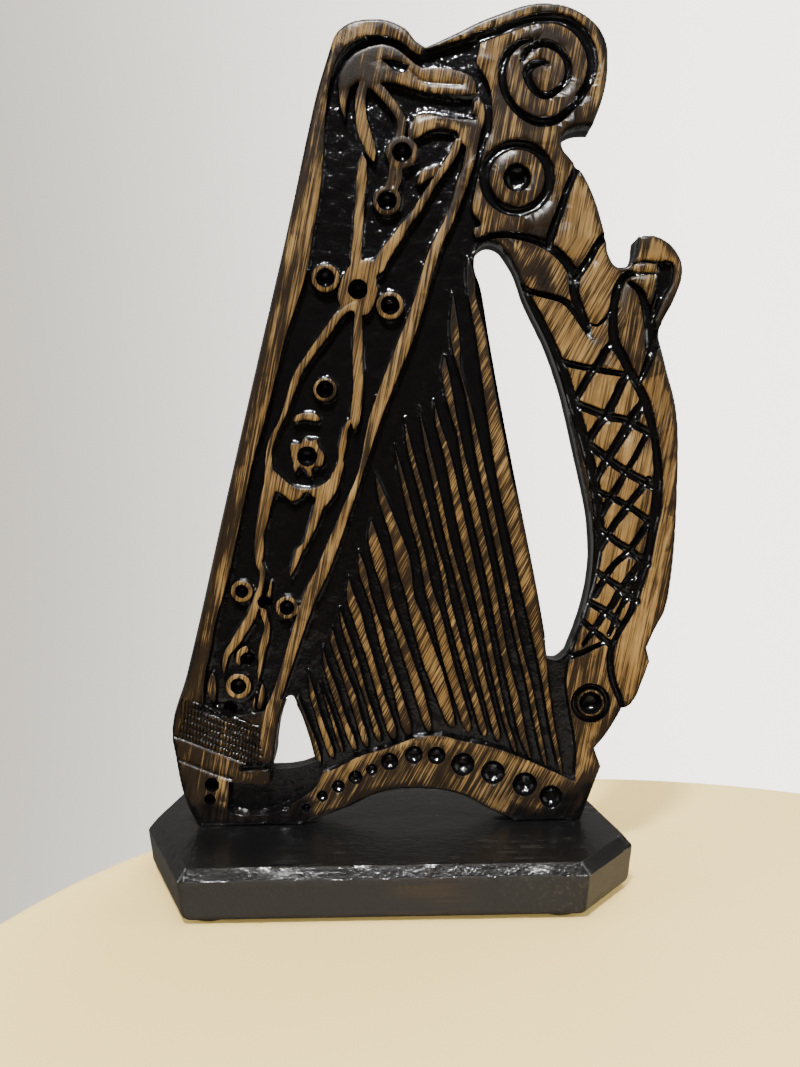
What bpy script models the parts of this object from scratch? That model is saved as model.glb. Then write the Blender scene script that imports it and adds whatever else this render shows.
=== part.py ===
"""Carved harp ornament: one relief-carved board screwed to a bevelled plinth.

Metres, +Z up. The origin is on the resting plane, at the middle of the overall width and depth.
The carved face looks towards -Y. Shapes are drawn about the plinth's middle, in millimetres: those of
the board as (x, height above the plinth's top face). A parent empty then moves everything to the
origin.
"""
import math

import bmesh
import bpy
from mathutils import Vector

MM = 0.001
GAP = 0.3 * MM  # clearance between pieces that touch on the real object
OVERRUN = 1.0 * MM  # how far a helper solid runs past the surface it cuts or joins
WELD = 0.01 * MM  # vertices closer than this are one

# Driving dimensions
PAD_RADIUS = 7.0 * MM
PAD_THICKNESS = 1.0 * MM
PLINTH_THICKNESS = 16.5 * MM
PLINTH_TOP_CHAMFER = 3.6 * MM
PLINTH_BOTTOM_ROUND = 2.6 * MM
PLINTH_UNDERCUT = 0.975  # size of the underside relative to the top
BOARD_THICKNESS = 14.0 * MM
PANEL_DEPTH = 3.2 * MM
RAISED_TOP = 0.25 * MM  # raised carving ends this far below the uncut face
SCREW_SHANK_RADIUS = 1.9 * MM
SCREW_HEAD_RADIUS = 4.0 * MM
SCREW_RIM = 0.6 * MM
SCREW_POINT = 5.0 * MM
SCREW_IN_FOOT = 12.0 * MM
SCREW_HEAD_SINK = 1.0 * MM
SCREW_HOLE_RUN = 3.0 * MM  # how far a screw's hole runs on below the head
SCREW_SLOT = (4.4 * MM, 0.9 * MM, 2.6 * MM)  # length, width and height of each arm's cutter
SCREW_Y = 1.5 * MM
SCREW_X = {"left": -46.0 * MM, "right": 58.0 * MM}

# Fineness of round shapes
OUTLINE_PIECES = 4  # straight pieces between two points of the board's outline
POCKET_PIECES = 2  # the same for the pockets and the bird's head
PATH_PIECES = 2  # the same for bars and grooves
ROUND_STEPS = 24
BOSS_STEPS = 14
DRILL_STEPS = 10
DIMPLE_STEPS = (12, 8)  # round a dimple's ball, and from pole to pole
GROOVE_FACETS = 1
PLINTH_ROUND_STEPS = 4
SHARP_ANGLE = math.radians(35)  # an edge that turns more than this is shaded sharp

OVERALL_MIDDLE_X = 10.83 * MM  # the harp leans out to +X, past the plinth's end

# Heights that follow
PLINTH_BOTTOM_Z = PAD_THICKNESS + GAP
PLINTH_TOP_Z = PLINTH_BOTTOM_Z + PLINTH_THICKNESS
BOARD_BASE_Z = PLINTH_TOP_Z + GAP
FRONT_Y = -BOARD_THICKNESS / 2

# Plinth plan, anticlockwise from the front left corner, in mm
PLINTH_PLAN = [(-63, -47), (65, -47), (84, -22), (77, 27), (63, 47), (-66, 47), (-80, 36), (-84, 2)]
PAD_PLACES = {
    "front_left": (-54, -36), "front_right": (56, -36),
    "back_left": (-60, 35), "back_right": (57, 35),
}

# Outlines are lists of (x, height, kind). A round point ("o") has automatic handles, and a corner
# ("+") has straight ones.
BOARD_OUTLINE = [
    (-64, 0, "+"), (-68, 9, "o"), (-71, 24, "o"), (-72, 34, "o"), (-66.5, 53, "o"), (-51, 114.5, "o"),
    (-30, 197, "o"), (-13, 262.5, "o"), (-9, 270, "o"), (1, 273, "o"), (12, 270.3, "o"),
    (16.5, 265.5, "o"), (19.5, 263.5, "+"), (25.5, 266, "o"), (43.5, 273.7, "o"), (60, 277.2, "o"),
    (73, 273.2, "o"), (79.3, 265.8, "o"), (80.4, 256.5, "o"), (79, 247, "o"), (75.3, 237, "+"),
    (69.5, 236.6, "o"), (65.4, 234, "o"), (64.8, 230, "o"), (68, 225.5, "o"), (72.5, 219.5, "o"),
    (79.2, 200, "o"), (80.5, 193, "o"), (83.5, 189.5, "o"), (88.5, 191.5, "o"), (90.6, 199.8, "+"),
    (97, 199.4, "o"), (103.8, 193.4, "o"), (105.2, 187.5, "o"), (102.8, 179.4, "o"),
    (97.4, 167.4, "o"), (99, 157.6, "o"), (102.9, 141, "o"), (103.4, 120, "o"), (100, 77.5, "o"),
    (98.4, 71.5, "+"), (94.8, 65, "o"), (92.4, 59.5, "+"), (93.3, 54.8, "+"), (91, 48.5, "o"),
    (86.7, 40, "o"), (83.5, 38.2, "+"), (78, 29.5, "o"), (74, 24.8, "+"), (76.2, 18.3, "+"),
    (72.5, 9, "o"), (69, 0, "+"), (46, 0, "+"), (37.2, 4.2, "o"), (27.6, 9.3, "o"), (13.4, 11.7, "o"),
    (0, 10.6, "o"), (-12, 5.6, "o"), (-28, 0, "+"),
]
BIG_OPENING = [
    (34.8, 193.5, "o"), (37.5, 198, "o"), (41.5, 198.6, "o"), (46, 194.5, "o"), (52.9, 178, "o"),
    (60.8, 160.5, "o"), (69.9, 124.5, "o"), (74.3, 98, "o"), (73.3, 81.6, "o"), (69.8, 68.5, "o"),
    (65.6, 58, "+"), (62, 55.3, "o"), (58.3, 56, "+"), (57.2, 66, "o"), (42.8, 145.7, "o"),
    (39.3, 167, "o"), (37, 182, "o"),
]
SMALL_OPENING = [
    (-31, 44.6, "o"), (-29, 42, "o"), (-25.3, 32.4, "o"), (-22.4, 20.8, "+"), (-30, 18.6, "o"),
    (-38.6, 18.2, "+"), (-37, 24, "o"), (-36.5, 29, "o"), (-33.4, 41, "o"),
]
SOUNDBOX_PANEL = [
    (-7.5, 262, "o"), (1, 266.5, "o"), (12.5, 265, "o"), (23, 259.5, "o"), (33.5, 253, "o"),
    (35, 244, "o"), (32, 230, "o"), (21.9, 197.8, "o"), (-1.5, 142, "o"), (-26.7, 81.7, "o"),
    (-41, 40, "+"), (-60.5, 42, "+"), (-57, 65, "o"), (-38.2, 135, "o"), (-16.2, 219, "o"),
    (-11.8, 254.6, "o"),
]
STRING_FIELD = [
    (34.4, 206, "+"), (27.3, 199.4, "o"), (3, 141, "o"), (-22.2, 81.6, "o"), (-32.8, 54, "+"),
    (-26.5, 43, "o"), (-18, 19.5, "+"), (2.2, 27, "o"), (17, 30.8, "o"), (36.5, 27, "o"),
    (66, 14.5, "+"), (65, 42, "o"), (62, 53, "+"), (56.5, 53.5, "+"), (43.5, 122.5, "o"),
    (36, 166, "o"), (33.5, 192, "o"),
]
FOOT_RECESS = [
    (-54, 1.5, "+"), (-53, 20, "+"), (-41.5, 21, "+"), (-24, 19.5, "o"), (-30, 10, "o"),
    (-34, 4, "o"),
]

# Raised ribs of the soundbox: (width, points). Each ends a little lower than the one before it, so that
# no two tops lie in one plane where they cross.
RIB_STEP = 0.03 * MM
SOUNDBOX_RIBS = [
    (3.8, [(-4.5, 234), (-5.4, 184), (-6.4, 136)]),
    (4.2, [(23.5, 216), (11, 203), (-4, 184), (-12.5, 172), (-25.5, 146), (-31.5, 129)]),
    (4.0, [(-31.5, 129), (-37, 107), (-39.5, 82), (-40.5, 68), (-43.5, 57), (-46, 44)]),
    (4.0, [(-10, 130), (-17, 112), (-28, 95), (-38, 80), (-45, 70), (-50.5, 56)]),
    (3.4, [(34.5, 240), (27, 226), (9, 206)]),
    (3.4, [(-8, 252), (-5, 238), (3, 226)]),
    (3.4, [(1, 250), (8, 240), (8, 214)]),
]
BIRD_HEAD = [
    (-8, 252, "o"), (-5, 260, "o"), (2, 263.3, "o"), (11, 260.5, "o"), (22, 255.5, "o"),
    (31, 251.5, "o"), (33, 245.5, "o"), (20, 248.5, "o"), (10, 250.5, "o"), (1, 249, "o"),
]
HEAD_DROP = 0.35 * MM  # the head ends this far below the ribs
BOSS_RISE = 0.1 * MM  # the bosses end this far above them

# Round bosses of the soundbox: (x, height, outer radius, hole radius)
SOUNDBOX_BOSSES = [
    (10.9, 228.5, 4.2, 2.4), (5.9, 212, 4.6, 2.8), (-15.8, 187.8, 5.0, 3.0), (-4.8, 183, 5.6, 3.1),
    (6, 178.3, 4.8, 2.9), (-16.6, 149.8, 4.1, 2.3), (-23.3, 127.2, 6.0, 3.0),
    (-47.3, 82, 4.2, 1.8), (-31.2, 77.3, 4.4, 2.2), (-45.5, 57.1, 3.4, 1.9), (-48.1, 48.1, 4.6, 2.3),
]
FOOT_HOLES = [(-58.7, 14.4, 1.8), (-59.8, 9.1, 1.7)]

# Strings: where each carved bar meets the arch band, from left to right
STRING_FEET = [
    (-17.2, 26.6), (-13.7, 27.5), (-10.2, 28.3), (-5.7, 29.6), (-1.2, 30.6), (4.1, 31.4), (9.3, 32),
    (16.2, 32.4), (24.1, 32.2), (29.7, 31.4), (35.2, 30), (40, 28.2), (44.4, 26.3), (50.3, 23.8),
    (56.1, 20.5),
]
STRING_LEAN_LEFT = 0.33  # how far the leftmost string leans to -X for each mm of height
STRING_LEAN_RIGHT = 0.20
STRING_WIDTH = 2.4
STRING_SHORTFALL = 4.0  # the strings end this far below the rib's line
RIB_LINE_FOOT = (-33.0, 54.0)  # the soundbox rib that the strings run up to
RIB_LINE_LEAN = 0.4165  # how far it leans to +X for each mm of height

# Dimples of the arch band: (x, height, radius)
ARCH_DIMPLES = [
    (-26.3, 5.7, 1.4), (-20.6, 9.8, 1.9), (-15, 12.9, 2.2), (-9.1, 16.3, 2.3), (-3.1, 18.7, 2.1),
    (3.2, 21.4, 3.1), (11.8, 23.3, 3), (19.1, 23.2, 3.2), (28.4, 19.9, 4.3), (38.8, 16.9, 4.4),
    (49.8, 12.5, 4.5), (58.8, 8.1, 4.1),
]
DIMPLE_DEPTH = 2.6 * MM
DIMPLE_DEEPEST = 0.8  # but at most this share of the dimple's radius

# Lines of the neck and the pillar: (width, depth, points)
GROOVES = [
    (2.8, 2.2, [(20.5, 257), (24, 260.5), (44.3, 267.5), (60, 270.5), (70.5, 266.5), (75, 258),
                (73, 247), (66, 240.5), (56, 239)]),
    (3.0, 2.4, [(40, 199), (48, 199.5), (56, 197), (64, 191), (70, 182), (75.5, 171)]),
    (2.4, 2.2, [(50, 184), (58, 182), (66, 178), (72, 170)]),
    (2.6, 2.3, [(71.5, 214), (67.5, 205), (63, 196)]),
    (2.6, 2.1, [(78.5, 196), (74, 187), (68.5, 181)]),
    (3.2, 2.6, [(83.5, 187), (81.2, 172), (81.4, 163), (85.4, 155), (90.5, 146), (94, 136), (96, 124),
                (96, 110), (93.6, 97), (91, 85), (86.6, 74.5), (81.4, 64), (79, 55), (80.5, 45),
                (82.5, 40)]),
    (2.8, 2.2, [(84, 184), (91, 188), (97, 187), (99, 180), (95.5, 172), (94.5, 165)]),
    (3.0, 2.4, [(59, 160), (64, 151), (69, 139), (73.5, 124), (76.5, 109), (77.5, 97), (76.7, 84),
                (73.5, 73), (69.5, 62), (66, 56)]),
]
LATTICE_FALLING = [
    [(64.4, 158), (83.6, 154)], [(69, 144.5), (81, 140), (93, 134)], [(73, 128), (88, 120.5), (94, 115)],
    [(76.8, 113), (85.4, 109.5), (93, 102.5)], [(77.4, 101), (91.4, 90.5)], [(76, 85.5), (89.4, 76)],
    [(74, 75.5), (82.7, 69.5)],
]
LATTICE_RISING = [
    [(68.6, 146), (73.5, 155), (79, 162)], [(72.6, 131), (79, 141), (85, 152)],
    [(75, 119), (81, 130), (88, 141)], [(77.5, 104), (86.5, 119), (92.5, 130)],
    [(77, 89), (86, 103), (94, 115)], [(74.5, 76), (83, 87), (91, 99)], [(74, 66), (84, 78)],
]
LATTICE_WIDTH = 2.6
LATTICE_DEPTHS = {"falling": 2.2, "rising": 2.5}  # unequal, so that crossings stay clean

# Ring grooves: (x, height, groove centre radius, hole radius)
RING_GROOVES = [(50.1, 219.6, 10.2, 3.7), (72.2, 40.8, 5.8, 3.2)]
RING_GROOVE_WIDTH = 2.8
RING_GROOVE_DEPTH = 2.4
HOLE_DEPTH = 5.0 * MM
SPIRAL_CENTRE = (59.9, 254.5)
SPIRAL_RADII = (3.5, 12.0)
SPIRAL_TURNS = 1.75
SPIRAL_START = -math.pi / 2  # it starts straight below its centre
SPIRAL_WIDTH = 2.6
SPIRAL_DEPTH = 2.2
SPIRAL_STEPS = 28


def clear_scene():
    """Remove every object, so that a second run starts from nothing."""
    for old in list(bpy.data.objects):
        bpy.data.objects.remove(old, do_unlink=True)


def new_collection(name):
    """Make a collection under the scene."""
    collection = bpy.data.collections.new(name)
    bpy.context.scene.collection.children.link(collection)
    return collection


def new_material(name, color, roughness, metallic=0.0):
    """Make a Principled material."""
    material = bpy.data.materials.new(name)
    material.use_nodes = True
    shader = material.node_tree.nodes["Principled BSDF"]
    shader.inputs["Base Color"].default_value = (*color, 1.0)
    shader.inputs["Roughness"].default_value = roughness
    shader.inputs["Metallic"].default_value = metallic
    return material


def as_cutter(obj):
    """Show a helper solid as a wireframe and keep it out of the build."""
    obj.hide_render = True
    obj.display_type = "WIRE"
    return obj


def shade_round(obj):
    """Shade an object smooth, except over its sharp edges."""
    obj.data.shade_smooth()
    obj.data.set_sharp_from_angle(angle=SHARP_ANGLE)


def place(obj, collection):
    """Link an object to one collection only."""
    for user in list(obj.users_collection):
        user.objects.unlink(obj)
    collection.objects.link(obj)
    return obj


def curve_to_mesh(curve_object, collection):
    """Turn a curve object into a welded mesh object in its place."""
    bpy.context.view_layer.update()
    depsgraph = bpy.context.evaluated_depsgraph_get()
    mesh = bpy.data.meshes.new_from_object(curve_object.evaluated_get(depsgraph))
    name = curve_object.name
    placement = curve_object.matrix_world.copy()
    curve_data = curve_object.data
    bpy.data.objects.remove(curve_object, do_unlink=True)
    bpy.data.curves.remove(curve_data)
    solid = bpy.data.objects.new(name, mesh)
    solid.matrix_world = placement
    collection.objects.link(solid)
    work = bmesh.new()
    work.from_mesh(mesh)
    bmesh.ops.remove_doubles(work, verts=work.verts, dist=WELD)
    bmesh.ops.recalc_face_normals(work, faces=work.faces)
    work.to_mesh(mesh)
    work.free()
    return solid


def flat_solid(name, outlines, front_y, back_y, collection, pieces=POCKET_PIECES):
    """Extrude closed outlines between two planes of constant Y; inner outlines are holes."""
    curve = bpy.data.curves.new(name, "CURVE")
    curve.dimensions = "2D"
    curve.fill_mode = "BOTH"
    curve.resolution_u = pieces
    curve.extrude = (back_y - front_y) / 2
    for outline in outlines:
        spline = curve.splines.new("BEZIER")
        spline.bezier_points.add(len(outline) - 1)
        spline.use_cyclic_u = True
        for point, (x, height, kind) in zip(spline.bezier_points, outline):
            point.co = (x * MM, height * MM, 0)
            handle = "AUTO" if kind == "o" else "VECTOR"
            point.handle_left_type = handle
            point.handle_right_type = handle
    obj = bpy.data.objects.new(name, curve)
    obj.rotation_euler = (math.pi / 2, 0, 0)
    obj.location = (0, (front_y + back_y) / 2, BOARD_BASE_Z)
    collection.objects.link(obj)
    return curve_to_mesh(obj, collection)


def smooth_path(points, steps=PATH_PIECES):
    """Give the points of a Catmull-Rom line through the given points."""
    ends = [points[0], *points, points[-1]]
    path = []
    for before, start, end, after in zip(ends, ends[1:], ends[2:], ends[3:]):
        for step in range(steps):
            t = step / steps
            path.append(tuple(
                0.5 * (2 * s + (e - b) * t + (2 * b - 5 * s + 4 * e - a) * t ** 2
                       + (3 * s - b - 3 * e + a) * t ** 3)
                for b, s, e, a in zip(before, start, end, after)
            ))
    path.append(points[-1])
    return path


def bar(name, points, width, front_y, back_y, collection):
    """Make a flat-topped bar of constant width along a smooth line."""
    path = [Vector(point) for point in (smooth_path(points) if len(points) > 2 else points)]
    left, right = [], []
    for index, point in enumerate(path):
        ahead = path[min(index + 1, len(path) - 1)]
        behind = path[max(index - 1, 0)]
        side = (ahead - behind).orthogonal().normalized() * (width / 2)
        left.append(point + side)
        right.append(point - side)
    outline = [(x, height, "+") for x, height in left + right[::-1]]
    return flat_solid(name, [outline], front_y, back_y, collection, pieces=1)


def groove_tool(name, points, width, depth, collection, closed=False):
    """Make a tube that leaves a round-bottomed groove of this width and depth in the front face."""
    radius = (width * width / 4 + depth * depth) / (2 * depth)
    curve = bpy.data.curves.new(name, "CURVE")
    curve.dimensions = "3D"
    curve.bevel_depth = radius * MM
    curve.bevel_resolution = GROOVE_FACETS
    curve.use_fill_caps = True
    spline = curve.splines.new("POLY")
    spline.points.add(len(points) - 1)
    spline.use_cyclic_u = closed
    for point, (x, height) in zip(spline.points, points):
        point.co = (x * MM, FRONT_Y - (radius - depth) * MM, BOARD_BASE_Z + height * MM, 1)
    obj = bpy.data.objects.new(name, curve)
    collection.objects.link(obj)
    return as_cutter(curve_to_mesh(obj, collection))


def circle_points(x, height, radius, steps):
    """Points of a circle in the board's plane, in mm."""
    angles = [2 * math.pi * step / steps for step in range(steps)]
    return [(x + radius * math.cos(angle), height + radius * math.sin(angle)) for angle in angles]


def spiral_points():
    """Points of the scroll's spiral, from inside to outside, in mm."""
    inner, outer = SPIRAL_RADII
    points = []
    for step in range(SPIRAL_STEPS + 1):
        share = step / SPIRAL_STEPS
        radius = inner + (outer - inner) * share
        angle = SPIRAL_START - 2 * math.pi * SPIRAL_TURNS * share
        points.append((SPIRAL_CENTRE[0] + radius * math.cos(angle),
                       SPIRAL_CENTRE[1] + radius * math.sin(angle)))
    return points


def peg(name, x, height, radius, front_y, back_y, collection, steps=BOSS_STEPS):
    """Make a cylinder along Y at a place on the board."""
    bpy.ops.mesh.primitive_cylinder_add(
        vertices=steps, radius=radius * MM, depth=back_y - front_y,
        location=(x * MM, (front_y + back_y) / 2, BOARD_BASE_Z + height * MM),
        rotation=(math.pi / 2, 0, 0))
    obj = bpy.context.object
    obj.name = name
    return place(obj, collection)


def dimple_tool(name, x, height, radius, depth, collection):
    """Make a ball that leaves a dimple of this radius and depth in the front face."""
    depth = min(depth, radius * MM * DIMPLE_DEEPEST)
    ball_radius = ((radius * MM) ** 2 + depth ** 2) / (2 * depth)
    segments, rings = DIMPLE_STEPS
    bpy.ops.mesh.primitive_uv_sphere_add(
        segments=segments, ring_count=rings, radius=ball_radius,
        location=(x * MM, FRONT_Y - (ball_radius - depth), BOARD_BASE_Z + height * MM),
        rotation=(math.pi / 2, 0, 0))
    obj = bpy.context.object
    obj.name = name
    return as_cutter(place(obj, collection))


def boolean(obj, operation, collection):
    """Cut or join every solid of a collection on an object."""
    modifier = obj.modifiers.new(collection.name, "BOOLEAN")
    modifier.operation = operation
    modifier.operand_type = "COLLECTION"
    modifier.collection = collection
    modifier.solver = "EXACT"


def turned_solid(name, profile, location, collection, steps=ROUND_STEPS):
    """Turn a profile of (radius, height), listed top to bottom, about a vertical axis."""
    mesh = bpy.data.meshes.new(name)
    mesh.from_pydata([(radius, 0, z) for radius, z in profile],
                     [(i, i + 1) for i in range(len(profile) - 1)], [])
    obj = bpy.data.objects.new(name, mesh)
    obj.location = location
    collection.objects.link(obj)
    screw = obj.modifiers.new("turn", "SCREW")
    screw.steps = steps
    screw.render_steps = steps
    screw.use_merge_vertices = True
    screw.merge_threshold = WELD
    return obj


def screw_profile(clearance, tail):
    """Profile of a countersunk wood screw, grown by a clearance and run out below its head."""
    shank = SCREW_SHANK_RADIUS + clearance
    head = SCREW_HEAD_RADIUS + clearance
    head_bottom = PLINTH_BOTTOM_Z + SCREW_HEAD_SINK
    cone_bottom = head_bottom + SCREW_RIM
    cone_top = cone_bottom + head - shank
    tip = BOARD_BASE_Z + SCREW_IN_FOOT + clearance
    return [(0, tip), (shank, tip - SCREW_POINT), (shank, cone_top), (head, cone_bottom),
            (head, head_bottom - tail), (0, head_bottom - tail)]


def build_screw(side, model, cutters, material):
    """Wood screw with a cross recess, driven up through the plinth into one foot."""
    place_xy = (SCREW_X[side], SCREW_Y, 0)
    screw = turned_solid(f"screw_{side}_foot", screw_profile(0, 0), place_xy, model)
    screw.data.materials.append(material)
    recess = new_collection(f"screw_{side}_recess")
    for index, angle in enumerate((0, math.pi / 2)):
        bpy.ops.mesh.primitive_cube_add(
            size=1, location=(*place_xy[:2], PLINTH_BOTTOM_Z + SCREW_HEAD_SINK))
        slot = bpy.context.object
        slot.name = f"screw_{side}_slot_{index}"
        slot.scale = SCREW_SLOT
        slot.rotation_euler = (0, 0, angle)
        as_cutter(place(slot, recess))
    boolean(screw, "DIFFERENCE", recess)
    hole = turned_solid(f"screw_{side}_hole", screw_profile(GAP, SCREW_HOLE_RUN), place_xy, cutters)
    as_cutter(hole)


def build_plinth(model, cutters, material):
    """Plinth with cut corners, a chamfered top edge and a slightly smaller rounded underside."""
    work = bmesh.new()
    bottom = [work.verts.new((x * MM * PLINTH_UNDERCUT, y * MM * PLINTH_UNDERCUT, PLINTH_BOTTOM_Z))
              for x, y in PLINTH_PLAN]
    top = [work.verts.new((x * MM, y * MM, PLINTH_TOP_Z)) for x, y in PLINTH_PLAN]
    bmesh.ops.contextual_create(work, geom=bottom)
    bmesh.ops.contextual_create(work, geom=top)
    lower = [edge for edge in work.edges if edge.verts[0] in bottom]
    upper = [edge for edge in work.edges if edge.verts[0] in top]
    bmesh.ops.bridge_loops(work, edges=lower + upper)
    bmesh.ops.recalc_face_normals(work, faces=work.faces)
    upper = [edge for edge in work.edges if all(v.co.z > PLINTH_TOP_Z - MM for v in edge.verts)]
    bmesh.ops.bevel(work, geom=upper, offset=PLINTH_TOP_CHAMFER, segments=1, affect="EDGES")
    lower = [edge for edge in work.edges if all(v.co.z < PLINTH_BOTTOM_Z + MM for v in edge.verts)]
    bmesh.ops.bevel(work, geom=lower, offset=PLINTH_BOTTOM_ROUND, segments=PLINTH_ROUND_STEPS,
                    profile=0.5, affect="EDGES")
    mesh = bpy.data.meshes.new("plinth")
    work.to_mesh(mesh)
    work.free()
    plinth = bpy.data.objects.new("plinth", mesh)
    shade_round(plinth)
    model.objects.link(plinth)
    plinth.data.materials.append(material)
    boolean(plinth, "DIFFERENCE", cutters)
    return plinth


def build_pads(model, material):
    """Thin round pads that the plinth stands on."""
    for name, (x, y) in PAD_PLACES.items():
        bpy.ops.mesh.primitive_cylinder_add(
            vertices=ROUND_STEPS, radius=PAD_RADIUS, depth=PAD_THICKNESS,
            location=(x * MM, y * MM, PAD_THICKNESS / 2))
        pad = bpy.context.object
        pad.name = f"felt_pad_{name}"
        shade_round(pad)
        pad.data.materials.append(material)
        place(pad, model)


def string_bars():
    """Ends of each carved string, from the arch band up to the soundbox rib."""
    bars = []
    last = len(STRING_FEET) - 1
    for index, (x, height) in enumerate(STRING_FEET):
        lean = STRING_LEAN_LEFT + (STRING_LEAN_RIGHT - STRING_LEAN_LEFT) * index / last
        rib_x, rib_height = RIB_LINE_FOOT
        top = (x + lean * height - rib_x + RIB_LINE_LEAN * rib_height) / (RIB_LINE_LEAN + lean)
        top -= STRING_SHORTFALL
        bars.append([(x, height), (x - lean * (top - height), top)])
    return bars


def cut_pockets(pockets):
    """Sunk ground of the soundbox panel, the string field and the left foot."""
    for name, outline in (("panel", SOUNDBOX_PANEL), ("strings", STRING_FIELD), ("foot", FOOT_RECESS)):
        as_cutter(flat_solid(f"{name}_pocket", [outline], FRONT_Y - OVERRUN, FRONT_Y + PANEL_DEPTH,
                             pockets))


def raise_carving(raised):
    """Ribs, bosses, strings and the bird's head, standing on the sunk ground."""
    front = FRONT_Y + RAISED_TOP
    back = FRONT_Y + PANEL_DEPTH + OVERRUN
    for index, (width, points) in enumerate(SOUNDBOX_RIBS):
        as_cutter(bar(f"rib_{index}", points, width, front + index * RIB_STEP, back, raised))
    for index, (x, height, radius, _) in enumerate(SOUNDBOX_BOSSES):
        as_cutter(peg(f"boss_{index}", x, height, radius, front - BOSS_RISE, back, raised))
    for index, points in enumerate(string_bars()):
        as_cutter(bar(f"string_{index}", points, STRING_WIDTH, front, back, raised))
    as_cutter(flat_solid("bird_head", [BIRD_HEAD], front + HEAD_DROP, back, raised))


def cut_lines(lines):
    """Grooves, holes and dimples of the front face."""
    for index, (width, depth, points) in enumerate(GROOVES):
        groove_tool(f"groove_{index}", smooth_path(points), width, depth, lines)
    for family, rows in (("falling", LATTICE_FALLING), ("rising", LATTICE_RISING)):
        for index, points in enumerate(rows):
            groove_tool(f"lattice_{family}_{index}", points, LATTICE_WIDTH, LATTICE_DEPTHS[family],
                        lines)
    for index, (x, height, ring, hole) in enumerate(RING_GROOVES):
        groove_tool(f"ring_groove_{index}", circle_points(x, height, ring, ROUND_STEPS),
                    RING_GROOVE_WIDTH, RING_GROOVE_DEPTH, lines, closed=True)
        as_cutter(peg(f"ring_hole_{index}", x, height, hole, FRONT_Y - OVERRUN, FRONT_Y + HOLE_DEPTH,
                      lines))
    groove_tool("spiral_groove", spiral_points(), SPIRAL_WIDTH, SPIRAL_DEPTH, lines)
    holes = [(x, height, hole) for x, height, _, hole in SOUNDBOX_BOSSES] + FOOT_HOLES
    for index, (x, height, hole) in enumerate(holes):
        as_cutter(peg(f"drilled_{index}", x, height, hole, FRONT_Y - OVERRUN, FRONT_Y + HOLE_DEPTH,
                      lines, DRILL_STEPS))
    for index, (x, height, radius) in enumerate(ARCH_DIMPLES):
        dimple_tool(f"dimple_{index}", x, height, radius, DIMPLE_DEPTH, lines)


def build_board(model, screw_holes, material):
    """Carved board: cut out, sunk, carved and drilled for the two screws."""
    board = flat_solid("harp_board", [BOARD_OUTLINE, BIG_OPENING, SMALL_OPENING], FRONT_Y, -FRONT_Y,
                       model, OUTLINE_PIECES)
    shade_round(board)
    board.data.materials.append(material)
    pockets = new_collection("pockets")
    cut_pockets(pockets)
    raised = new_collection("raised_carving")
    raise_carving(raised)
    lines = new_collection("carved_lines")
    cut_lines(lines)
    boolean(board, "DIFFERENCE", screw_holes)
    boolean(board, "DIFFERENCE", pockets)
    boolean(board, "UNION", raised)
    boolean(board, "DIFFERENCE", lines)
    return board


def main():
    """Build the whole ornament."""
    clear_scene()
    model = new_collection("carved_harp")
    screw_holes = new_collection("screw_holes")
    carved_wood = new_material("carved_wood", (0.34, 0.19, 0.08), 0.3)
    black_stain = new_material("black_stain", (0.02, 0.018, 0.016), 0.25)
    steel = new_material("screw_steel", (0.6, 0.6, 0.6), 0.35, 1.0)
    felt = new_material("felt", (0.03, 0.03, 0.03), 0.95)
    for side in SCREW_X:
        build_screw(side, model, screw_holes, steel)
    build_plinth(model, screw_holes, black_stain)
    build_pads(model, felt)
    build_board(model, screw_holes, carved_wood)
    origin = bpy.data.objects.new("carved_harp_origin", None)
    origin.location = (-OVERALL_MIDDLE_X, 0, 0)
    model.objects.link(origin)
    for obj in bpy.data.objects:
        if obj != origin:
            obj.parent = origin


main()
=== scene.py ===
"""The look of the carved harp ornament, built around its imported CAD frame.

The board's front is a height field: every rib, string, ring and groove is drawn in millimetres as
(x from the plinth's middle, height above the plinth's top), and carved into a fine grid.
"""
import math

import bmesh
import bpy
import numpy as np
from mathutils import Matrix, Vector
from mathutils.geometry import delaunay_2d_cdt


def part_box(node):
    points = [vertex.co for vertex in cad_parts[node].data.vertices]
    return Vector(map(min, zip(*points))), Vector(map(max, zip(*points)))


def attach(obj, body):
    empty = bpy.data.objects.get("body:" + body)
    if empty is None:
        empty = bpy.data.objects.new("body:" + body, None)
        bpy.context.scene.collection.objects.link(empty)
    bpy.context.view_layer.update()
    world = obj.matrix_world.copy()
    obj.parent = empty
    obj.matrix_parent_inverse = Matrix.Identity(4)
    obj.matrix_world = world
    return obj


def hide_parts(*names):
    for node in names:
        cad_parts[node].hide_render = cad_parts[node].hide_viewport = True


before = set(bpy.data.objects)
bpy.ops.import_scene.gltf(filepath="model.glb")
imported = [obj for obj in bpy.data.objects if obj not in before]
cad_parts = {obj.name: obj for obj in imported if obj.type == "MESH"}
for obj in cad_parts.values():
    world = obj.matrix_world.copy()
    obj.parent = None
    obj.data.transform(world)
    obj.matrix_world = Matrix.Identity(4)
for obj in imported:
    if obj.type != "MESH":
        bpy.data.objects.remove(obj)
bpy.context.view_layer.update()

MM = 0.001
BOARD_LOW, BOARD_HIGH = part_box("harp_board")
PLINTH_LOW, PLINTH_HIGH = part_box("plinth")
MIDDLE_X = (PLINTH_LOW.x + PLINTH_HIGH.x) / 2  # the drawing's x = 0
BASE_Z = BOARD_LOW.z  # the drawing's height = 0
FRONT_Y, BACK_Y = BOARD_LOW.y, BOARD_HIGH.y
THICKNESS = (BACK_Y - FRONT_Y) / MM

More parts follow.
